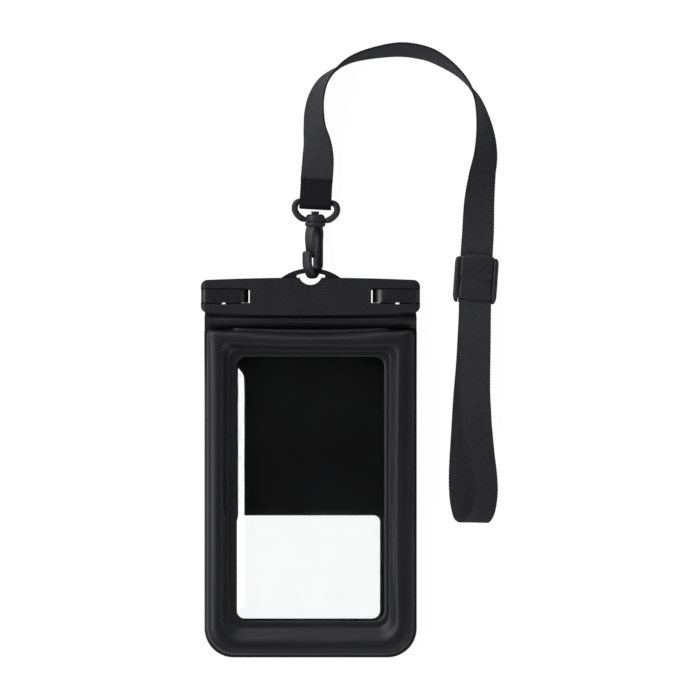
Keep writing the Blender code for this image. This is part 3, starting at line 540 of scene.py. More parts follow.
def smooth_line(points, step):
    """Points about every step along a smooth curve through the given ones; the first three numbers are
    the place, and any others are carried along."""
    ends = [points[0]] + list(points) + [points[-1]]
    line = []
    for before, start, end, after in zip(ends, ends[1:], ends[2:], ends[3:]):
        count = max(1, round(math.dist(start[:3], end[:3]) / step))
        for i in range(count):
            t = i / count
            line.append(tuple(0.5 * (2 * b + (c - a) * t + (2 * a - 5 * b + 4 * c - d) * t * t
                                     + (3 * b - a - 3 * c + d) * t ** 3)
                              for a, b, c, d in zip(before, start, end, after)))
    line.append(tuple(points[-1]))
    return line


def rounded_section(wide, thick, power=4.0, count=24):
    """A flat section with round edges: a superellipse, wide across and thick through."""
    def bulged(value):
        return math.copysign(abs(value) ** (2 / power), value)
    return [(wide / 2 * bulged(math.cos(a)), thick / 2 * bulged(math.sin(a))) for a in circle(count)]


def flat_outline(name, outline, low, high):
    """A mesh from a flat outline with thickness from low to high, all in millimetres."""
    low, high = low * MM, high * MM
    curve = bpy.data.curves.new(name, "CURVE")
    curve.dimensions = "2D"
    curve.fill_mode = "BOTH"
    curve.extrude = (high - low) / 2
    line = curve.splines.new("POLY")
    line.points.add(len(outline) - 1)
    for point, (x, y) in zip(line.points, outline):
        point.co = (x * MM, y * MM, 0, 1)
    line.use_cyclic_u = True
    helper = bpy.data.objects.new(name, curve)
    bpy.context.scene.collection.objects.link(helper)
    bpy.context.view_layer.update()
    mesh = bpy.data.meshes.new_from_object(helper.evaluated_get(bpy.context.evaluated_depsgraph_get()))
    bpy.data.objects.remove(helper, do_unlink=True)
    shape = bmesh.new()
    shape.from_mesh(mesh)
    bmesh.ops.remove_doubles(shape, verts=shape.verts, dist=1e-6)
    shape.transform(Matrix.Translation((0, 0, (low + high) / 2)))
    bmesh.ops.recalc_face_normals(shape, faces=shape.faces)
    return written(shape, mesh)


def arc(x, y, radius, start, end, steps):
    return [(x + radius * math.cos(a), y + radius * math.sin(a)) for a in angles(start, end, steps)]


def settle(piece):
    """Applies a piece's modifiers, so that the finished mesh is what rides on its body."""
    bpy.context.view_layer.update()
    mesh = bpy.data.meshes.new_from_object(piece.evaluated_get(bpy.context.evaluated_depsgraph_get()))
    piece.modifiers.clear()
    piece.data = mesh


# %% [markdown]
# ## The strap
#
# The lanyard is one length of 19 mm webbing. It leaves the ring, stands on its edge round the arch,
# lies back as it comes down, runs under the slider's plate, turns at the bottom of its loop and comes
# back to the slider's bar, where its end is sewn. A simulation would fall into some other shape, so
# the line is given point by point: each point has a place and says how far the webbing leans on its edge.

# %% The strap's route
STRAP_WIDE, STRAP_THICK = 19.0, 1.3
ARCH = [
    (3.55, 166.2, 7.3, 0), (3.95, 172.4, 7.3, 5), (4.35, 179.0, 7.2, 13), (4.1, 187.9, 7.4, 31),
    (2.7, 197.2, 8.3, 47), (2.4, 206.5, 9.0, 54), (3.9, 215.8, 9.5, 62), (8.1, 224.7, 9.8, 73),
    (16.2, 232.2, 9.8, 88), (25.6, 237.3, 9.7, 98), (39.0, 240.7, 9.5, 106), (53.2, 242.2, 9.4, 111),
    (66.8, 240.0, 9.4, 110),
    (76.2, 235.6, 9.6, 106), (84.8, 229.4, 9.8, 98), (91.7, 222.1, 9.8, 90), (96.4, 214.2, 9.8, 79),
    (99.4, 204.0, 9.6, 67), (101.2, 192.6, 9.1, 54), (101.3, 181.0, 8.0, 43), (99.5, 169.4, 6.9, 34),
    (97.9, 154.0, 6.3, 20), (97.2, 137.0, 6.3, 8), (96.4, 124.0, 6.5, 0), (95.9, 109.7, 6.5, 0),
]
LOOP = [
    (95.4, 95.0, 6.5, 0), (95.2, 72.0, 8.2, 4), (95.0, 58.0, 8.8, 7), (95.0, 48.5, 9.1, 10),
    (95.1, 41.5, 10.8, 12), (95.5, 35.0, 12.6, 15), (96.4, 24.0, 12.9, 21), (98.6, 8.0, 12.7, 31),
    (100.6, -4.0, 12.5, 38), (101.4, -14.0, 12.0, 42), (100.0, -24.0, 10.8, 40), (97.0, -29.6, 8.2, 31),
    (94.4, -31.2, 5.2, 22), (92.0, -28.4, 2.7, 10), (90.4, -20.0, 1.4, 2), (89.7, -10.0, 1.0, 0),
    (89.9, 2.0, 1.0, 0), (91.0, 20.0, 1.0, 0), (92.2, 40.0, 1.0, 0), (94.0, 62.0, 1.0, 0),
    (95.2, 84.0, 1.0, 0), (95.6, 95.0, 1.0, 0), (95.8, 104.0, 1.0, 0),
]
SLIDER_X, SLIDER_Y, SLIDER_LEAN = 95.95, 109.7, math.radians(4.0)
SLIDER_BAR, SLIDER_BAR_Z = 1.0, 2.95
TAIL_LOW = 1.0 + STRAP_THICK + 0.3


def on_slider(v, z):
    """A point on the slider's long middle line, v millimetres from its centre."""
    return (SLIDER_X + v * math.sin(SLIDER_LEAN), SLIDER_Y + v * math.cos(SLIDER_LEAN), z)


def strap_line(step):
    """The whole route: the arch, the loop, the turn round the slider's bar and the sewn tail."""
    wrap = SLIDER_BAR + 0.3 + STRAP_THICK / 2
    turn = [(*on_slider(wrap * math.sin(a), SLIDER_BAR_Z - wrap * math.cos(a)), 0) for a in angles(0, 180, 16)]
    over = SLIDER_BAR_Z + wrap
    drop = ((-3.0, mix(TAIL_LOW, over, 0.7)), (-6.5, mix(TAIL_LOW, over, 0.15)), (-9.5, TAIL_LOW),
            (-14.0, TAIL_LOW))
    return smooth_line(ARCH + LOOP, step) + turn + smooth_line([(*on_slider(v, z), 0) for v, z in drop], step)


def strap_stations(step):
    """For each point of the line: its place, the way across the webbing, the way out of its face, and how
    far its middle bows out of line, which webbing does where it stands on its edge."""
    line = strap_line(step)
    tilt = SLIDER_LEAN * 0.5
    level_at_slider = Vector((-math.cos(tilt), math.sin(tilt), 0))
    stations, past_slider = [], False
    for index, (x, y, z, lean) in enumerate(line):
        along = way_at(line, index)
        past_slider = past_slider or (x > SLIDER_X - 1 and y < SLIDER_Y + 15)
        level = level_at_slider if past_slider else Vector((along.y, -along.x, 0)).normalized()
        across = level * math.cos(math.radians(lean)) + Vector((0, 0, math.sin(math.radians(lean))))
        square = (across - along * across.dot(along)).normalized()
        across = across.lerp(square, ease(y, -27, -14))
        face = along.cross(square)
        reach = abs(across.z) * STRAP_WIDE / 2 + abs(face.z) * STRAP_THICK / 2
        bow = 0.9 * math.sin(math.radians(min(lean, 90))) ** 2
        stations.append((Vector((x, y, max(z, reach + 0.3))), across, face, bow))
    return stations


def webbing_mesh(name, stations, wide=STRAP_WIDE):
    """Carries the webbing's section along the stations. Its edges bulge once for each cross yarn."""
    section = rounded_section(wide, STRAP_THICK, 7.0, 32)
    rings, lie, run = [], [], 0.0
    for index, (middle, across, face, bow) in enumerate(stations):
        if index:
            run += (middle - stations[index - 1][0]).length
        ring, places = [], []
        for a, b in section:
            edge = ease(abs(a), wide / 2 - 0.7, wide / 2)
            a -= math.copysign(edge * 0.14 * (1 - math.cos(2 * math.pi * run / 1.9)), a)
            b += bow * (0.5 - (2 * a / wide) ** 2)
            ring.append(middle + across * a + face * b)
            places.append((a * MM, run * MM))
        rings.append(ring)
        lie.append(places)
    return mesh_of_rings(name, rings, lie=lie)


stations = strap_stations(0.6)
run = sum((a[0] - b[0]).length for a, b in zip(stations, stations[1:]))
strap = add_piece("strap_webbing", webbing_mesh("strap_webbing", stations), WEBBING, "pouch",
                  "strap_webbing", "strap")
print(f"strap: {run:.0f} mm from the ring's eye to its sewn end, {len(strap.data.polygons)} faces")

# %% [markdown]
# ## The strap's eye and its stitches
#
# The end of the webbing folds round the ring's bar and is sewn to itself. This short stretch is a
# piece of its own that rides on no body. The stitches are short arcs of thread that dip into the cloth
# at both ends, in two rows, because a straight tube on top would look glued on.

# %% Strap's eye
HOOK_X, HOOK_Z = 2.7, 7.3
EYE_X, RING_BAR_Y, RING_WIRE = 2.85, 153.9, 1.6
EYE_CENTRE = Vector((EYE_X, RING_BAR_Y, 0))
EYE_LEAN = (Matrix.Translation(EYE_CENTRE) @ Matrix.Rotation(math.radians(-3.2), 4, "Z")
            @ Matrix.Translation(-EYE_CENTRE))
around = RING_WIRE + 0.75 + STRAP_THICK / 2
leg = [(167.6, 0.68), (165.8, 0.76), (163.5, 1.15), (161.0, 1.7), (158.0, 2.4), (156.0, 2.8)]
turn = [(RING_BAR_Y - 0.45 - around * math.sin(a), around * math.cos(a)) for a in angles(8, 172, 20)]
fold = [(EYE_X, y, HOOK_Z + off) for y, off in leg + turn + [(y, -off) for y, off in reversed(leg)]]
fold_line = [EYE_LEAN @ Vector(p) for p in smooth_line(fold, 0.5)]
across = EYE_LEAN.to_3x3() @ Vector((1, 0, 0))
eye_stations = [(middle, across, way_at(fold_line, index).cross(across), 0.0)
                for index, middle in enumerate(fold_line)]
# The eye takes the darker webbing copy, whose darkness is painted shade.
eye = add_piece("strap_eye_webbing", webbing_mesh("strap_eye_webbing", eye_stations, 18.7), SHADED_WEBBING,
                None, "strap_webbing", "strap_eye")
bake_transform(eye)


def stitch_row(name, start, end, body, stands_for):
    """Two offset rows of short stitches between two points, each an arc that dips into the cloth."""
    start, end = Vector(start), Vector(end)
    along = (end - start).normalized()
    aside = Vector((0, 0, 1)).cross(along)
    half = (end - start).length / STITCHES * 0.4
    parts = []
    for row in range(2):
        for i in range(STITCHES - row):
            middle = start.lerp(end, (i + 0.5 + 0.5 * row) / STITCHES) + aside * (0.55 - 1.1 * row)
            rings = []
            for t in evenly(-1, 1, 8):
                centre = middle + along * (half * t) + Vector((0, 0, STITCH_LIFT * (1 - t * t) - 0.1))
                rings.append([centre + aside * (0.27 * math.cos(a)) + Vector((0, 0, 0.2 * math.sin(a)))
                              for a in circle(8)])
            parts.append(mesh_of_rings("stitch", rings))
    return add_piece(name, joined(name, parts), THREAD, body, "sewing_thread", stands_for)


STITCHES, STITCH_LIFT = 9, 0.25
face_z = HOOK_Z + 0.7 + STRAP_THICK / 2
seam = [EYE_LEAN @ Vector((EYE_X + side * 8.4, 166.6, face_z + 0.05)) for side in (-1, 1)]
eye_thread = stitch_row("eye_thread", *seam, None, "eye_stitching")
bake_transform(eye_thread)
tail_x, tail_y, tail_z = on_slider(-12.0, TAIL_LOW + STRAP_THICK / 2)
tail_thread = stitch_row("tail_thread", (tail_x - 8.3, tail_y, tail_z), (tail_x + 8.3, tail_y, tail_z),
                         "pouch", "tail_stitching")
print("stitches:", len(eye_thread.data.polygons) // 66 * 2)

# %% [markdown]
# ## The slider
#
# The slider is a moulded buckle: two rails along the sides, a bowed plate in front with a crease across
# it, and a bar behind. The rails are one rounded section carried along their length, and the plate is a
# grid that is bent by a formula and then thickened.

# %% Slider
RAIL_MIDDLE, RAIL_WIDE = 11.1, 3.2
SLIDER_STAND = Matrix.Translation(Vector((SLIDER_X, SLIDER_Y, 0)) * MM) @ Matrix.Rotation(-SLIDER_LEAN, 4, "Z")
# The rail's sections from its lower foot to its upper end: place along it, width, lowest and highest point.
RAIL = [(-14.1, 0.8, 3.4, 5.0), (-13.9, 1.5, 2.4, 6.0), (-13.2, 2.2, 1.2, 7.2), (-11.8, 2.8, 0.4, 8.4),
        (-9.8, 3.2, 0.0, 9.0), (-6.0, 3.2, 0.0, 9.1), (0.0, 3.2, 0.0, 9.1), (6.0, 3.2, 0.0, 9.1),
        (9.0, 3.2, 0.0, 9.0), (10.6, 3.0, 0.4, 8.6), (11.7, 2.5, 1.4, 7.6), (12.3, 1.7, 2.6, 6.2),
        (12.5, 0.8, 3.4, 5.2)]
PLATE = [(-11.6, 8.0), (-11.2, 8.55), (-10.4, 8.9), (-8.0, 8.95), (-4.5, 8.5), (-1.5, 8.0), (-0.3, 7.85),
         (0.05, 7.95), (0.4, 8.55), (1.0, 8.75), (3.0, 9.0), (6.0, 9.4), (9.0, 9.55), (11.5, 9.3),
         (12.6, 8.95), (13.1, 8.4)]


def rail(side):
    rings = []
    for v, wide, low, high in RAIL:
        middle_x = side * (RAIL_MIDDLE - (RAIL_WIDE - wide) * 0.3)
        rings.append([(middle_x + a, v, (low + high) / 2 + b) for a, b in rounded_section(wide, high - low, 3.6)])
    return mesh_of_rings("rail", rings)


def plate_ring(s):
    """The plate's section at a share of its half width: it bows, and sinks to a groove beside each rail."""
    bow = 1.1 * (1 - s * s)
    groove = 1.1 * ease(abs(s * 9.75), 8.9, 9.6)
    top = [(v + bow * ease(v, 6, 13) - 0.5 * bow * ease(-v, 6, 11), z + 0.3 * bow - groove) for v, z in PLATE]
    return [(s * 9.75, v, z) for v, z in top + [(v, z - 1.6) for v, z in reversed(top[1:-1])]]


def y_range(mesh):
    """Where a mesh begins and ends along Y, in millimetres."""
    heights = [vertex.co.y / MM for vertex in mesh.vertices]
    return min(heights), max(heights)


rod = mesh_of_rings("rod", [[(x, SLIDER_BAR * math.cos(a), SLIDER_BAR_Z + SLIDER_BAR * math.sin(a))
                             for a in circle(20)] for x in (-10.6, -3.5, 3.5, 10.6)])
plate = mesh_of_rings("plate", [plate_ring(s) for s in evenly(-1, 1, 32)])
slider_mesh = joined("slider_buckle", [rail(-1), rail(1), rod, plate], SLIDER_STAND)
slider = add_piece("slider_buckle", slider_mesh, HOOK_PLASTIC, "pouch", "hook_plastic", "slider")
print("slider from {:.1f} to {:.1f}".format(*y_range(slider_mesh)))

# %% [markdown]
# ## The swivel ring and the hook
#
# The ring is a round wire bent to a flat D, on a hub that turns on the hook's stem. The hook is a wider
# bar bent into a J that stands on edge, with a thin tongue as its gate. All of them are sections carried
# along a line, and the hub and collar are profiles turned about the stem.

# %% Turned and carried sections
def rounded_profile(profile, radius):
    """Cuts each corner of a closed profile into a short curve."""
    made = []
    for i, point in enumerate(profile):
        before, after = Vector(profile[i - 1]), Vector(profile[(i + 1) % len(profile)])
        here = Vector(point)
        cut_a = here + (before - here).normalized() * min(radius, (before - here).length / 2.2)
        cut_b = here + (after - here).normalized() * min(radius, (after - here).length / 2.2)
        for t in (0, 0.33, 0.67, 1):
            made.append(tuple(cut_a.lerp(here, t).lerp(here.lerp(cut_b, t), t)))
    return made


def turned(name, profile, radius):
    """A closed profile of (radius, distance along the stem) with rounded corners, turned about the stem."""
    rounded = rounded_profile(profile, radius)
    return mesh_of_rings(name, [[(HOOK_X + r * math.cos(a), y, HOOK_Z + r * math.sin(a)) for r, y in rounded]
                                for a in circle(48)], loop=True)


def carried(name, line, across, section_at):
    """Carries a section along a line; section_at gives it for each share of the line's length."""
    rings = []
    for index, middle in enumerate(line):
        along = way_at(line, index)
        square = (across - along * across.dot(along)).normalized()
        face = along.cross(square)
        rings.append([middle + square * a + face * b for a, b in section_at(index / (len(line) - 1))])
    return mesh_of_rings(name, rings)


# %% Swivel ring
RING_X = 3.35
RING_SIDE = [(3.5, 143.35), (5.7, 143.65), (8.0, 144.4), (9.9, 145.7), (11.4, 147.4), (12.25, 149.4),
             (12.25, 151.3), (11.5, 153.0), (9.8, 154.1)]
line = ([(RING_X + x, y, HOOK_Z) for x, y in RING_SIDE] + [(RING_X + x, 154.1, HOOK_Z) for x in (6, 2, -2, -6)]
        + [(RING_X - x, y, HOOK_Z) for x, y in reversed(RING_SIDE)])
ring_line = [EYE_LEAN @ Vector(p) for p in smooth_line(line, 0.6)]


def wire_section(t):
    """The wire is thickest at its sides, thinner where the strap's eye goes round it and at the hub."""
    thick = mix(3.2, 3.7, ease(abs(t - 0.5), 0.14, 0.22))
    thick = mix(2.3, thick, ease(min(t, 1 - t), 0.02, 0.09))
    return rounded_section(thick, thick, 2.2, 20)


wire = carried("wire", ring_line, Vector((0, 0, 1)), wire_section)
HUB = [(2.1, 147.1), (4.3, 147.1), (5.4, 146.0), (5.75, 144.4), (5.75, 142.7), (2.1, 142.7)]
ring_mesh = joined("ring", [wire, turned("hub", HUB, 0.4)], sharp_over=50)
add_piece("swivel_d_ring", ring_mesh, HOOK_PLASTIC, "swivel", "hook_plastic", "swivel_ring")

# %% Hook and gate
HOOK_TURN = math.radians(28.0)
HOOK_ACROSS = Vector((math.cos(HOOK_TURN), 0, math.sin(HOOK_TURN)))


def in_hook_plane(u, y, aside=0.0):
    """A point of the hook, u millimetres in front of the stem; below its shoulders the hook bends aside,
    and its two legs close in on each other at the bend."""
    pinch = mix(1.0, 0.45, ease(-y, -118.5, -111))
    x = HOOK_X - u * math.sin(HOOK_TURN) * pinch - aside * ease(-y, -140, -130)
    return x, y, HOOK_Z + u * math.cos(HOOK_TURN)


shank = [(-2.2, 140.8), (-3.6, 138.4), (-5.0, 135.0), (-5.6, 131.0), (-5.7, 124.0), (-5.7, 118.5)]
bend = [(0.1 - 5.8 * math.cos(a), 117.6 - 6.3 * math.sin(a)) for a in angles(0, 180, 14)]
tip = [(6.0, 119.5), (6.1, 122.0), (6.2, 124.6), (6.2, 125.6)]
hook_points = [in_hook_plane(u, y, mix(1.0, 1.75, (u + 5.7) / 11.8) + 0.3 * ease(-y, -118, -112))
               for u, y in shank + bend + tip]
hook_line = [Vector(p) for p in smooth_line(hook_points, 0.45)]


def hook_section(t):
    """A broad flat section, rounded off over the last of the tip."""
    closing = math.sqrt(max(1 - ease(t, 0.965, 1.0) ** 2, 0.02))
    at_bend = math.sin(math.pi * min(max((t - 0.42) / 0.46, 0), 1)) ** 2
    wide = (mix(5.9, 5.4, t) + 0.2 * at_bend) * mix(0.6, 1, closing)
    return rounded_section(wide, 3.1 * mix(0.35, 1, closing), mix(4.2, 2.8, at_bend), 28)


hook_wire = carried("hook_wire", hook_line, HOOK_ACROSS, hook_section)
COLLAR = [(0.05, 148.8), (2.3, 148.8), (2.3, 147.4), (1.8, 147.4), (1.8, 142.5), (5.5, 142.5), (5.95, 142.1),
          (5.95, 140.8), (5.2, 139.8), (0.05, 139.8)]
hook_mesh = joined("hook", [hook_wire, turned("collar", COLLAR, 0.25)], sharp_over=50)
add_piece("swivel_hook", hook_mesh, HOOK_PLASTIC, "pouch", "hook_plastic", "hook_body")

gate = [(5.3, 139.2), (6.5, 136.2), (6.8, 132.5), (6.3, 129.2), (5.0, 126.4), (3.7, 124.0), (3.0, 122.2)]
gate_points = [in_hook_plane(u, y, mix(0.0, 0.9, ease(-y, -130, -122))) for u, y in gate]
gate_line = [Vector(p) for p in smooth_line(gate_points, 0.5)]
gate_mesh = carried("gate", gate_line, HOOK_ACROSS, lambda t: rounded_section(5.7, 1.8, 4.5, 28))
add_piece("hook_tongue", gate_mesh, HOOK_PLASTIC, "gate", "hook_plastic", "hook_gate")
print("hook from {:.1f} to {:.1f}".format(*y_range(hook_mesh)))

# %% [markdown]
# ## The air frame
#
# The frame is two films welded together and blown up, so its walls are steep, its top is nearly flat
# and its inner edge drops to a welded lip round the window. One section is drawn as share of the way
# from the outer edge to the window and height, and carried round the rounded rectangle.

# %% Outlines of the pouch
def rounded_outline(left, right, low, top, low_corner, top_corner, steps, side_points):
    """A rectangle with round corners, anticlockwise from the lower right, with points along its sides."""
    corners = [(right - low_corner, low + low_corner, low_corner, -90),
               (right - top_corner, top - top_corner, top_corner, 0),
               (left + top_corner, top - top_corner, top_corner, 90),
               (left + low_corner, low + low_corner, low_corner, 180)]
    points = []
    for index, (x, y, radius, start) in enumerate(corners):
        points += arc(x, y, radius, start, start + 90, steps)
        x2, y2, radius2, start2 = corners[(index + 1) % 4]
        here, there = points[-1], arc(x2, y2, radius2, start2, start2 + 90, steps)[0]
        gaps = side_points[(index + 1) % 4] + 1
        points += [(mix(here[0], there[0], i / gaps), mix(here[1], there[1], i / gaps)) for i in range(1, gaps)]
    return points


BACK_RISE = 3.9


def back_lift(x, y):
    """How far the back film rises towards the clamp bar."""
    middle, seam = BACK_RISE * ease(y, 72, 88), BACK_RISE * ease(y, 40, 80)
    return mix(middle, seam, part_way(abs(x), 46.5, 61.6))


def frame_foot(x, y):
    """The frame's underside: on the back film, and above the pocket's mouth near the bar."""
    over_mouth = (1 - ease(abs(x), 43, 50)) * ease(y, 58, 66)
    return mix(FOOT_Z + back_lift(x, y), 11.2, over_mouth)


# %% Air frame
CREST_Z, FOOT_Z = 17.85, 1.4
PUFF = [(0.0, 2.2), (0.03, 2.35), (0.07, 2.4), (0.083, 3.2), (0.092, 7.0), (0.105, 11.5), (0.125, 14.2),
        (0.16, 15.9), (0.24, 17.05), (0.36, 17.7), (0.48, CREST_Z), (0.57, 16.8), (0.64, 15.0), (0.70, 13.4),
        (0.765, 12.5), (0.85, 12.65), (0.93, 12.55), (1.0, 11.95)]
UNDER = [(0.995, 11.82), (0.9, 11.8), (0.8, 11.8), (0.77, 11.6)]
# Where the crest and the foot of the inner slope lie, as shares, along the left, right, lower and top side.
CREST_AT = (0.50, 0.62, 0.44, 0.53)
SLOPE_ENDS = (0.765, 0.85, 0.84, 0.81)
outer = rounded_outline(-61.7, 61.7, -110.3, 80.1, 17.0, 3.0, 14, (28, 28, 44, 28))
outer = [(x, y + 2.0 * ease(y, 70, 80) * (x / 61.7) ** 2) for x, y in outer]
inner = rounded_outline(-42.6, 42.6, -88.2, 64.4, 5.8, 5.8, 14, (28, 28, 44, 28))
profile = smooth_line([(f, z, 0) for f, z in PUFF], 0.35)


def moved_share(f, crest, slope_end):
    """Moves the section's crest and slope, and leaves its two edges where they are."""
    at_crest = ease(f, 0.12, 0.5) * (1 - ease(f, 0.5, 0.765))
    at_slope_end = ease(f, 0.5, 0.765) * (1 - ease(f, 0.765, 1.0))
    return f + (crest - 0.5) * at_crest + (slope_end - 0.765) * at_slope_end


def frame_section(a, b):
    inward = Vector((b[0] - a[0], b[1] - a[1])).normalized()
    sides = [max(v, 0) ** 2 for v in (inward.x, -inward.x, inward.y, -inward.y)]
    crest = sum(w * c for w, c in zip(sides, CREST_AT))
    slope_end = sum(w * c for w, c in zip(sides, SLOPE_ENDS))
    ring = []
    at_mouth = sides[3] * (1 - ease(abs(a[0]), 30, 58))
    for f, z, _ in profile:
        x, y = (mix(a[k], b[k], moved_share(f, crest, slope_end)) for k in (0, 1))
        foot = frame_foot(x, y)
        if f < 0.5:
            z = max(mix(foot, CREST_Z, (z - FOOT_Z) / (CREST_Z - FOOT_Z)), foot + 0.8)
            z = mix(z, mix(foot + 0.8, CREST_Z, ease(f, 0.02, 0.36)), 0.75 * at_mouth)
        swell = noise.noise(Vector((x * 0.045, y * 0.045, 3.1))) * 0.22 * ease(z, 9, 15)
        ring.append((x, y, z + swell))
    for f, z in UNDER + [(share, None) for share in (0.75, 0.6, 0.45, 0.2, 0.0)]:
        x, y = mix(a[0], b[0], f), mix(a[1], b[1], f)
        ring.append((x, y, frame_foot(x, y) if z is None else z))
    return ring


air_mesh = mesh_of_rings("air_frame_film", [frame_section(a, b) for a, b in zip(outer, inner)], loop=True)
add_piece("air_frame_film", air_mesh, BLACK_FILM, "pouch", "black_film", "air_frame")
print("air frame:", len(air_mesh.polygons), "faces")

# %% [markdown]
# ## The back film, the windows and the neck
#
# The back is one flat film with an opening for the camera window, and near the top it rises into the
# clamp bar. The clear windows are thin sheets with a slightly wavy face, which breaks up what they
# mirror. The front neck is film too: a sheet that dips and rolls over between the pouch and the moving
# half of the bar, and rides on no body.

# %% Back film
def bar_low(x):
    return mix(88.5, 89.9, (x / 59.5) ** 2)


def bar_top(x):
    return mix(110.3, 109.0, (x / 59.5) ** 2)


def sheet_mesh(name, columns, rows, point, thick):
    """A grid of points with thickness, closed round its edge."""
    shape = bmesh.new()
    corners = {}
    for side in (1, -1):
        for i, column in enumerate(columns):
            for j, row in enumerate(rows):
                x, y, z = point(column, row)
                corners[side, i, j] = shape.verts.new(Vector((x, y, z + side * thick / 2)) * MM)
    right, top = len(columns) - 1, len(rows) - 1
    for i in range(right):
        for j in range(top):
            square = ((i, j), (i + 1, j), (i + 1, j + 1), (i, j + 1))
            for side in (1, -1):
                shape.faces.new([corners[side, *place] for place in square])
    rim = ([(i, 0) for i in range(right + 1)] + [(right, j) for j in range(1, top + 1)]
           + [(i, top) for i in range(right - 1, -1, -1)] + [(0, j) for j in range(top - 1, 0, -1)])
    for here, there in zip(rim, rim[1:] + rim[:1]):
        shape.faces.new([corners[1, *here], corners[-1, *here], corners[-1, *there], corners[1, *there]])
    bmesh.ops.recalc_face_normals(shape, faces=shape.faces)
    mesh = written(shape, bpy.data.meshes.new(name))
    mesh.shade_smooth()
    mesh.set_sharp_from_angle(angle=math.radians(50))
    return mesh


INTO_BAR = None
columns = evenly(-1, 1, 32)
rows = ([-109.3 + 16 * (1 - math.cos(math.radians(a))) for a in range(0, 91, 9)] + list(range(-80, 61, 10))
        + [64, 68, 71, 74, 76, 78, 80, 82, 84, 86, 88, INTO_BAR])


def back_point(side, y):
    """Round at its lower corners; the last row lies inside the bar."""
    if y is INTO_BAR:
        x = side * 61.0
        return x, bar_low(x) + 1.8, 0.5 + BACK_RISE
    drop = max(-93.3 - y, 0)
    x = side * (45.6 + math.sqrt(max(256 - drop ** 2, 0)))
    return x, y, 0.5 + back_lift(x, y)


def cut_away(piece, *helpers, operation="DIFFERENCE"):
    """Cuts or trims a piece with helper meshes, which are then thrown away."""
    made = []
    for mesh in helpers:
        helper = bpy.data.objects.new("helper", mesh)
        bpy.context.scene.collection.objects.link(helper)
        step = piece.modifiers.new("cut", "BOOLEAN")
        step.operation, step.solver, step.object = operation, "EXACT", helper
        made.append(helper)
    settle(piece)
    for helper in made:
        bpy.data.objects.remove(helper, do_unlink=True)


def smooth_by_angle(piece, degrees=35):
    """Smooth shading in which the large flat faces lead, so that they don't shade towards their bevels."""
    piece.data.shade_smooth()
    piece.data.set_sharp_from_angle(angle=math.radians(degrees))
    step = piece.modifiers.new("flat_faces_lead", "WEIGHTED_NORMAL")
    step.weight, step.keep_sharp = 80, True
    settle(piece)


camera_hole = rounded_outline(-42.9, 40.3, -87.7, -27.8, 4.6, 3.7, 10, (0, 0, 0, 0))
back = add_piece("back_film", sheet_mesh("back_film", columns, rows, back_point, 1.0), BACK_FILM, "pouch",
                 "black_film", "back_skin")
cut_away(back, flat_outline("hole", camera_hole, -3, 3))
smooth_by_angle(back)

# %% Clear windows
camera_outline = rounded_outline(-44.9, 42.3, -89.7, -25.8, 6.6, 5.7, 8, (10, 16, 10, 16))
camera_window = add_piece("camera_window_film", flat_outline("camera_window_film", camera_outline, 1.3, 1.3 + 0.8),
                          CLEAR_FILM, "pouch", "clear_film", "camera_window")
smooth_by_angle(camera_window)


def crowned_window(name, left, right, low, top, corner, z, thick, flat_rim, slopes, rise):
    """Rings inside rings: level under the frame's lip, then an even slope that levels out softly. The
    slopes are their widths along the left, right, lower and top edge."""
    steps = [(*[flat_rim * s] * 4, 0.0) for s in (0, 0.5, 0.8)]
    steps += [(*[flat_rim + wide * t for wide in slopes], t) for t in evenly(0, 1, 16)]
    steps += [(*[flat_rim + wide + more for wide in slopes], 1.0) for more in (3, 8)]
    upper, lower = [], []
    for from_left, from_right, from_low, from_top, t in steps:
        height = z + rise * (t / 0.68 if t < 0.36 else 1 - 0.47 * ((1 - t) / 0.64) ** 2)
        round_by = max(corner - from_left * 0.5, 2.5)
        outline = rounded_outline(left + from_left, right - from_right, low + from_low, top - from_top, round_by,
                                  round_by, 8, (16, 28, 16, 28))
        upper.append([(x, y, height + thick / 2) for x, y in outline])
        lower.append([(x, y, height - thick / 2) for x, y in outline])
    return mesh_of_rings(name, list(reversed(upper)) + lower)


window_mesh = crowned_window("front_window_film", -44.6, 44.6, -90.2, 66.4, 7.8, 11.1, 0.7, 2.2,
                             (9.0, 30.0, 15.0, 15.0), 2.5)
add_piece("front_window_film", window_mesh, CLEAR_FILM, "pouch", "clear_film", "front_window")

# %% Front neck film
NECK_LOW, NECK_HALF = 80.7, 61.2
BAR_LAP = 1.8
PAST_ROLL = 2


def neck_point(side, step):
    """The film dips into a groove beside the frame, deepest at the middle, and rolls over before the bar."""
    x = side * NECK_HALF
    to_side = part_way(abs(x), 46.5, NECK_HALF)
    middle = 1 - (x / NECK_HALF) ** 2
    y = mix(NECK_LOW, 88.0, step) if step < PAST_ROLL else bar_low(x) + BAR_LAP
    groove_ends = mix(0.12, 0.36, middle)
    root = mix(11.5 - 2.5 * to_side, 11.2, ease(step, 0, 1))
    groove = mix(1.2, 4.6, middle) * (1 - ease(step, -0.06, groove_ends))
    roll = (1.5 - 0.7 * to_side) * math.sin(math.pi * part_way(step, groove_ends, 1)) ** 0.8
    ripple = 0.10 * math.sin(step * 22) * ease(abs(x), 40, 55) if step < 1 else 0
    return x, y, root - groove + roll + ripple


neck_mesh = sheet_mesh("front_neck_roll", evenly(-1, 1, 60), evenly(0, 1, 28) + [PAST_ROLL], neck_point, 0.8)
neck = add_piece("front_neck_roll", neck_mesh, BLACK_FILM, None, "black_film", "front_neck_film")
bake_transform(neck)
print("neck film from", NECK_LOW, "to", bar_low(0) + BAR_LAP)

# %% [markdown]
# ## The clamp bar and its latches
#
# Both halves of the bar are one outline with thickness. The ends of the front half are rounded over in
# side view too, so the flat slab is trimmed by a long shape with quarter-round ends before the channels
# for the latches are cut. A narrow bevel comes last and catches a line of light along every edge.

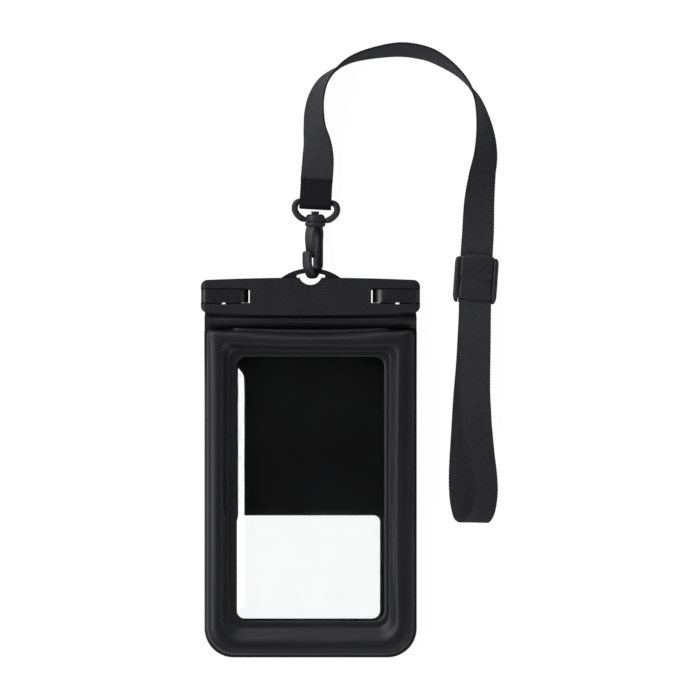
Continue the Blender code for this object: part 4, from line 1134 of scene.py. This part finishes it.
# %% Bar outline and helpers
BAR_HALF, BAR_BEND, BAR_CORNER = 63.5, 59.5, 4.0
BACK_TOP, FRONT_LOW, FRONT_TOP = 8.0, 8.3, 14.6
PIN_X, PIN_Z, PIN_RADIUS = 60.4, 11.4, 1.3


def bar_outline():
    across = evenly(-BAR_BEND, BAR_BEND, 30)
    low = [(x, bar_low(x)) for x in across[1:-1]]
    high = [(x, bar_top(x)) for x in reversed(across[1:-1])]
    right = arc(BAR_BEND, 93.9, BAR_CORNER, -90, 0, 12) + arc(BAR_BEND, 105.0, BAR_CORNER, 0, 90, 12)
    return low + right + high + [(-x, y) for x, y in reversed(right)]


def block(low, high):
    """A box mesh between two corners, in millimetres."""
    shape = bmesh.new()
    bmesh.ops.create_cube(shape, size=1)
    low, high = Vector(low) * MM, Vector(high) * MM
    shape.transform(Matrix.Translation((low + high) / 2) @ Matrix.Diagonal((*(high - low), 1)))
    return written(shape, bpy.data.meshes.new("block"))


def side_block(side, inner, outer, low_y, high_y, low_z, high_z):
    """A box at one end of the bar, between two distances from the middle."""
    left, right = sorted((side * inner, side * outer))
    return block((left, low_y, low_z), (right, high_y, high_z))


def along_y(outline, low_y, high_y):
    """A flat outline in X and Z, in millimetres, with thickness along Y."""
    return mesh_of_rings("profile", [[(x, y, z) for x, z in outline] for y in (low_y, high_y)])


def pin_bore(side, low_y, high_y):
    bore = [(side * PIN_X + PIN_RADIUS * math.cos(a), PIN_Z + PIN_RADIUS * math.sin(a)) for a in circle(32)]
    return along_y(bore, low_y, high_y)


def edge_bevel(piece, width, segments=3, angle=38):
    """Rounds the edges that are sharper than the angle, in degrees; the width is in millimetres."""
    step = piece.modifiers.new("edges", "BEVEL")
    step.width, step.segments = width * MM, segments
    step.limit_method, step.angle_limit = "ANGLE", math.radians(angle)
    settle(piece)


def band(edge, across, low, high):
    """The outline between two distances from one of the bar's curved edges."""
    return [(x, edge(x) + low) for x in across] + [(x, edge(x) + high) for x in reversed(across)]


FILM_BAND = band(bar_low, evenly(-61.6, 61.6, 24), -4, 2.1)

# %% Front half of the bar
END_ROUND = 3.0
# Cuts at each end: inner and outer distance from the middle, low and high Y, low and high Z.
END_CUTS = [
    (35.1, 70, 95.25, 103.95, 11.6, 30),    # channel for the lever
    (35.2, 43, 95.65, 103.1, 0, 12),        # opening for the lever's nose
    (57.1, 70, 95.7, 103.5, 0, 30),         # room round the lever's pin
    (49.25, 51.55, 94.9, 96.1, 0, 30),      # finger notch
    (40.6, 58.4, 103.45, 104.05, 10.2, 30), (40.6, 58.4, 95.15, 95.75, 10.2, 30),   # grooves beside the lever
    (58.3, 70, 103.45, 104.05, 13.3, 30), (58.3, 70, 95.15, 95.75, 13.3, 30),       # and beside its hub
]

front = add_piece("front_clamp_bar", flat_outline("front_clamp_bar", bar_outline(), FRONT_LOW, FRONT_TOP),
                  BAR_PLASTIC, "jaw", "hard_black_plastic", "clamp_front_bar")
round_x, round_z = BAR_HALF - END_ROUND, FRONT_TOP - END_ROUND
over = arc(round_x, round_z, END_ROUND, 0, 90, 14) + arc(-round_x, round_z, END_ROUND, 90, 180, 14)
cut_away(front, along_y([(BAR_HALF, 8.0)] + over + [(-BAR_HALF, 8.0)], 80, 120), operation="INTERSECT")
notch = mesh_of_rings("notch", [[(6.9 * math.cos(a), 113.0 + 6.9 * math.sin(a), z) for a in circle(64)]
                                for z in (5.0, 20.0)])
cut_away(front, notch)
edge_bevel(front, 0.7, 4)
for side in (-1, 1):
    cut_away(front, *[side_block(side, *cut) for cut in END_CUTS], pin_bore(side, 93.6, 105.9))
cut_away(front, flat_outline("slot", FILM_BAND, 10.7, 12.1), block((-56.3, 91.7, 0), (56.3, 94.3, 9.6)))
edge_bevel(front, 0.18, 2, 60)
smooth_by_angle(front, 30)

# %% Back half of the bar, with the lanyard's loop
def crown(x, y, radius, half, steps):
    """An arc that bulges upwards from its highest point at x and y, half as wide as its full width."""
    reach = math.degrees(math.asin(half / radius))
    return arc(x, y - radius, radius, 90 - reach, 90 + reach, steps)


back_bar = add_piece("back_clamp_bar", flat_outline("back_clamp_bar", bar_outline(), 0, BACK_TOP), BAR_PLASTIC,
                     "pouch", "hard_black_plastic", "clamp_back_bar")
edge_bevel(back_bar, 0.8, 4)
tab = crown(0.2, 115.9, 29.1, 17.0, 40) + [(-16.8, 100), (17.2, 100)]
cut_away(back_bar, flat_outline("tab", tab, 5.8, BACK_TOP), operation="UNION")
hole = crown(0.2, 113.1, 26.6, 8.19, 16) + arc(0.2, 111.5, 8.2, 180, 360, 30)
cut_away(back_bar, flat_outline("hole", hole, -2, 12))
cut_away(back_bar, flat_outline("parting", band(bar_top, evenly(-17.2, 17.6, 12), 0.02, 0.62), 6.7, 9))
for side in (-1, 1):
    cut_away(back_bar, side_block(side, 35.1, 40.2, 95.2, 106.0, -2, 20),
             side_block(side, 49.25, 51.55, 94.9, 96.4, -2, 20))
cut_away(back_bar, flat_outline("slot", FILM_BAND, 3.6, 5.2), block((-56.3, 91.7, 6.7), (56.3, 94.3, 12)))
edge_bevel(back_bar, 0.15, 2, 60)
smooth_by_angle(back_bar, 30)
print("bar faces:", len(front.data.polygons), len(back_bar.data.polygons))

# %% Latch levers
def lever_outline():
    """The lever seen along its pin, measured from the pin, with its arm towards -X."""
    start = 180 - math.degrees(math.asin(0.5 / 3.0))
    hub = arc(0, 0, 3.0, start, 450, 32)
    nose = [(-16.6 - 7.8 * math.sin(a), -3.0 + 6.0 * math.cos(a)) for a in angles(0, 90, 16)]
    end = [(-24.4, -5.5), (-23.0, -9.9), (-21.7, -9.9)]
    inside = [(-16.6 - 5.0 * math.cos(a), -3.0 + 3.5 * math.sin(a)) for a in angles(0, 90, 10)]
    return hub + nose + end + inside


for side, name in ((-1, "left"), (1, "right")):
    outline = [(side * (PIN_X + x), PIN_Z + z) for x, z in lever_outline()]
    lever = add_piece(f"{name}_latch_lever", along_y(outline, 95.8, 103.4), LATCH_PLASTIC,
                      f"latch_{name}_lever", "latch_plastic", f"latch_{name}")
    cut_away(lever, pin_bore(side, 90, 110))
    edge_bevel(lever, 0.3, 3, 50)
    smooth_by_angle(lever, 35)

# %% [markdown]
# ## What stays as it was loaded
#
# The two seals and the two steel pins are plain shapes on the real case too. They keep their solids and
# only take a finish.

# %% Seals and pins
for kept, material in (("back_seal", SEAL), ("front_seal", SEAL), ("latch_pin_left", STEEL),
                       ("latch_pin_right", STEEL)):
    piece = frame["nodes"][kept]
    piece.data.materials.clear()
    piece.data.materials.append(material)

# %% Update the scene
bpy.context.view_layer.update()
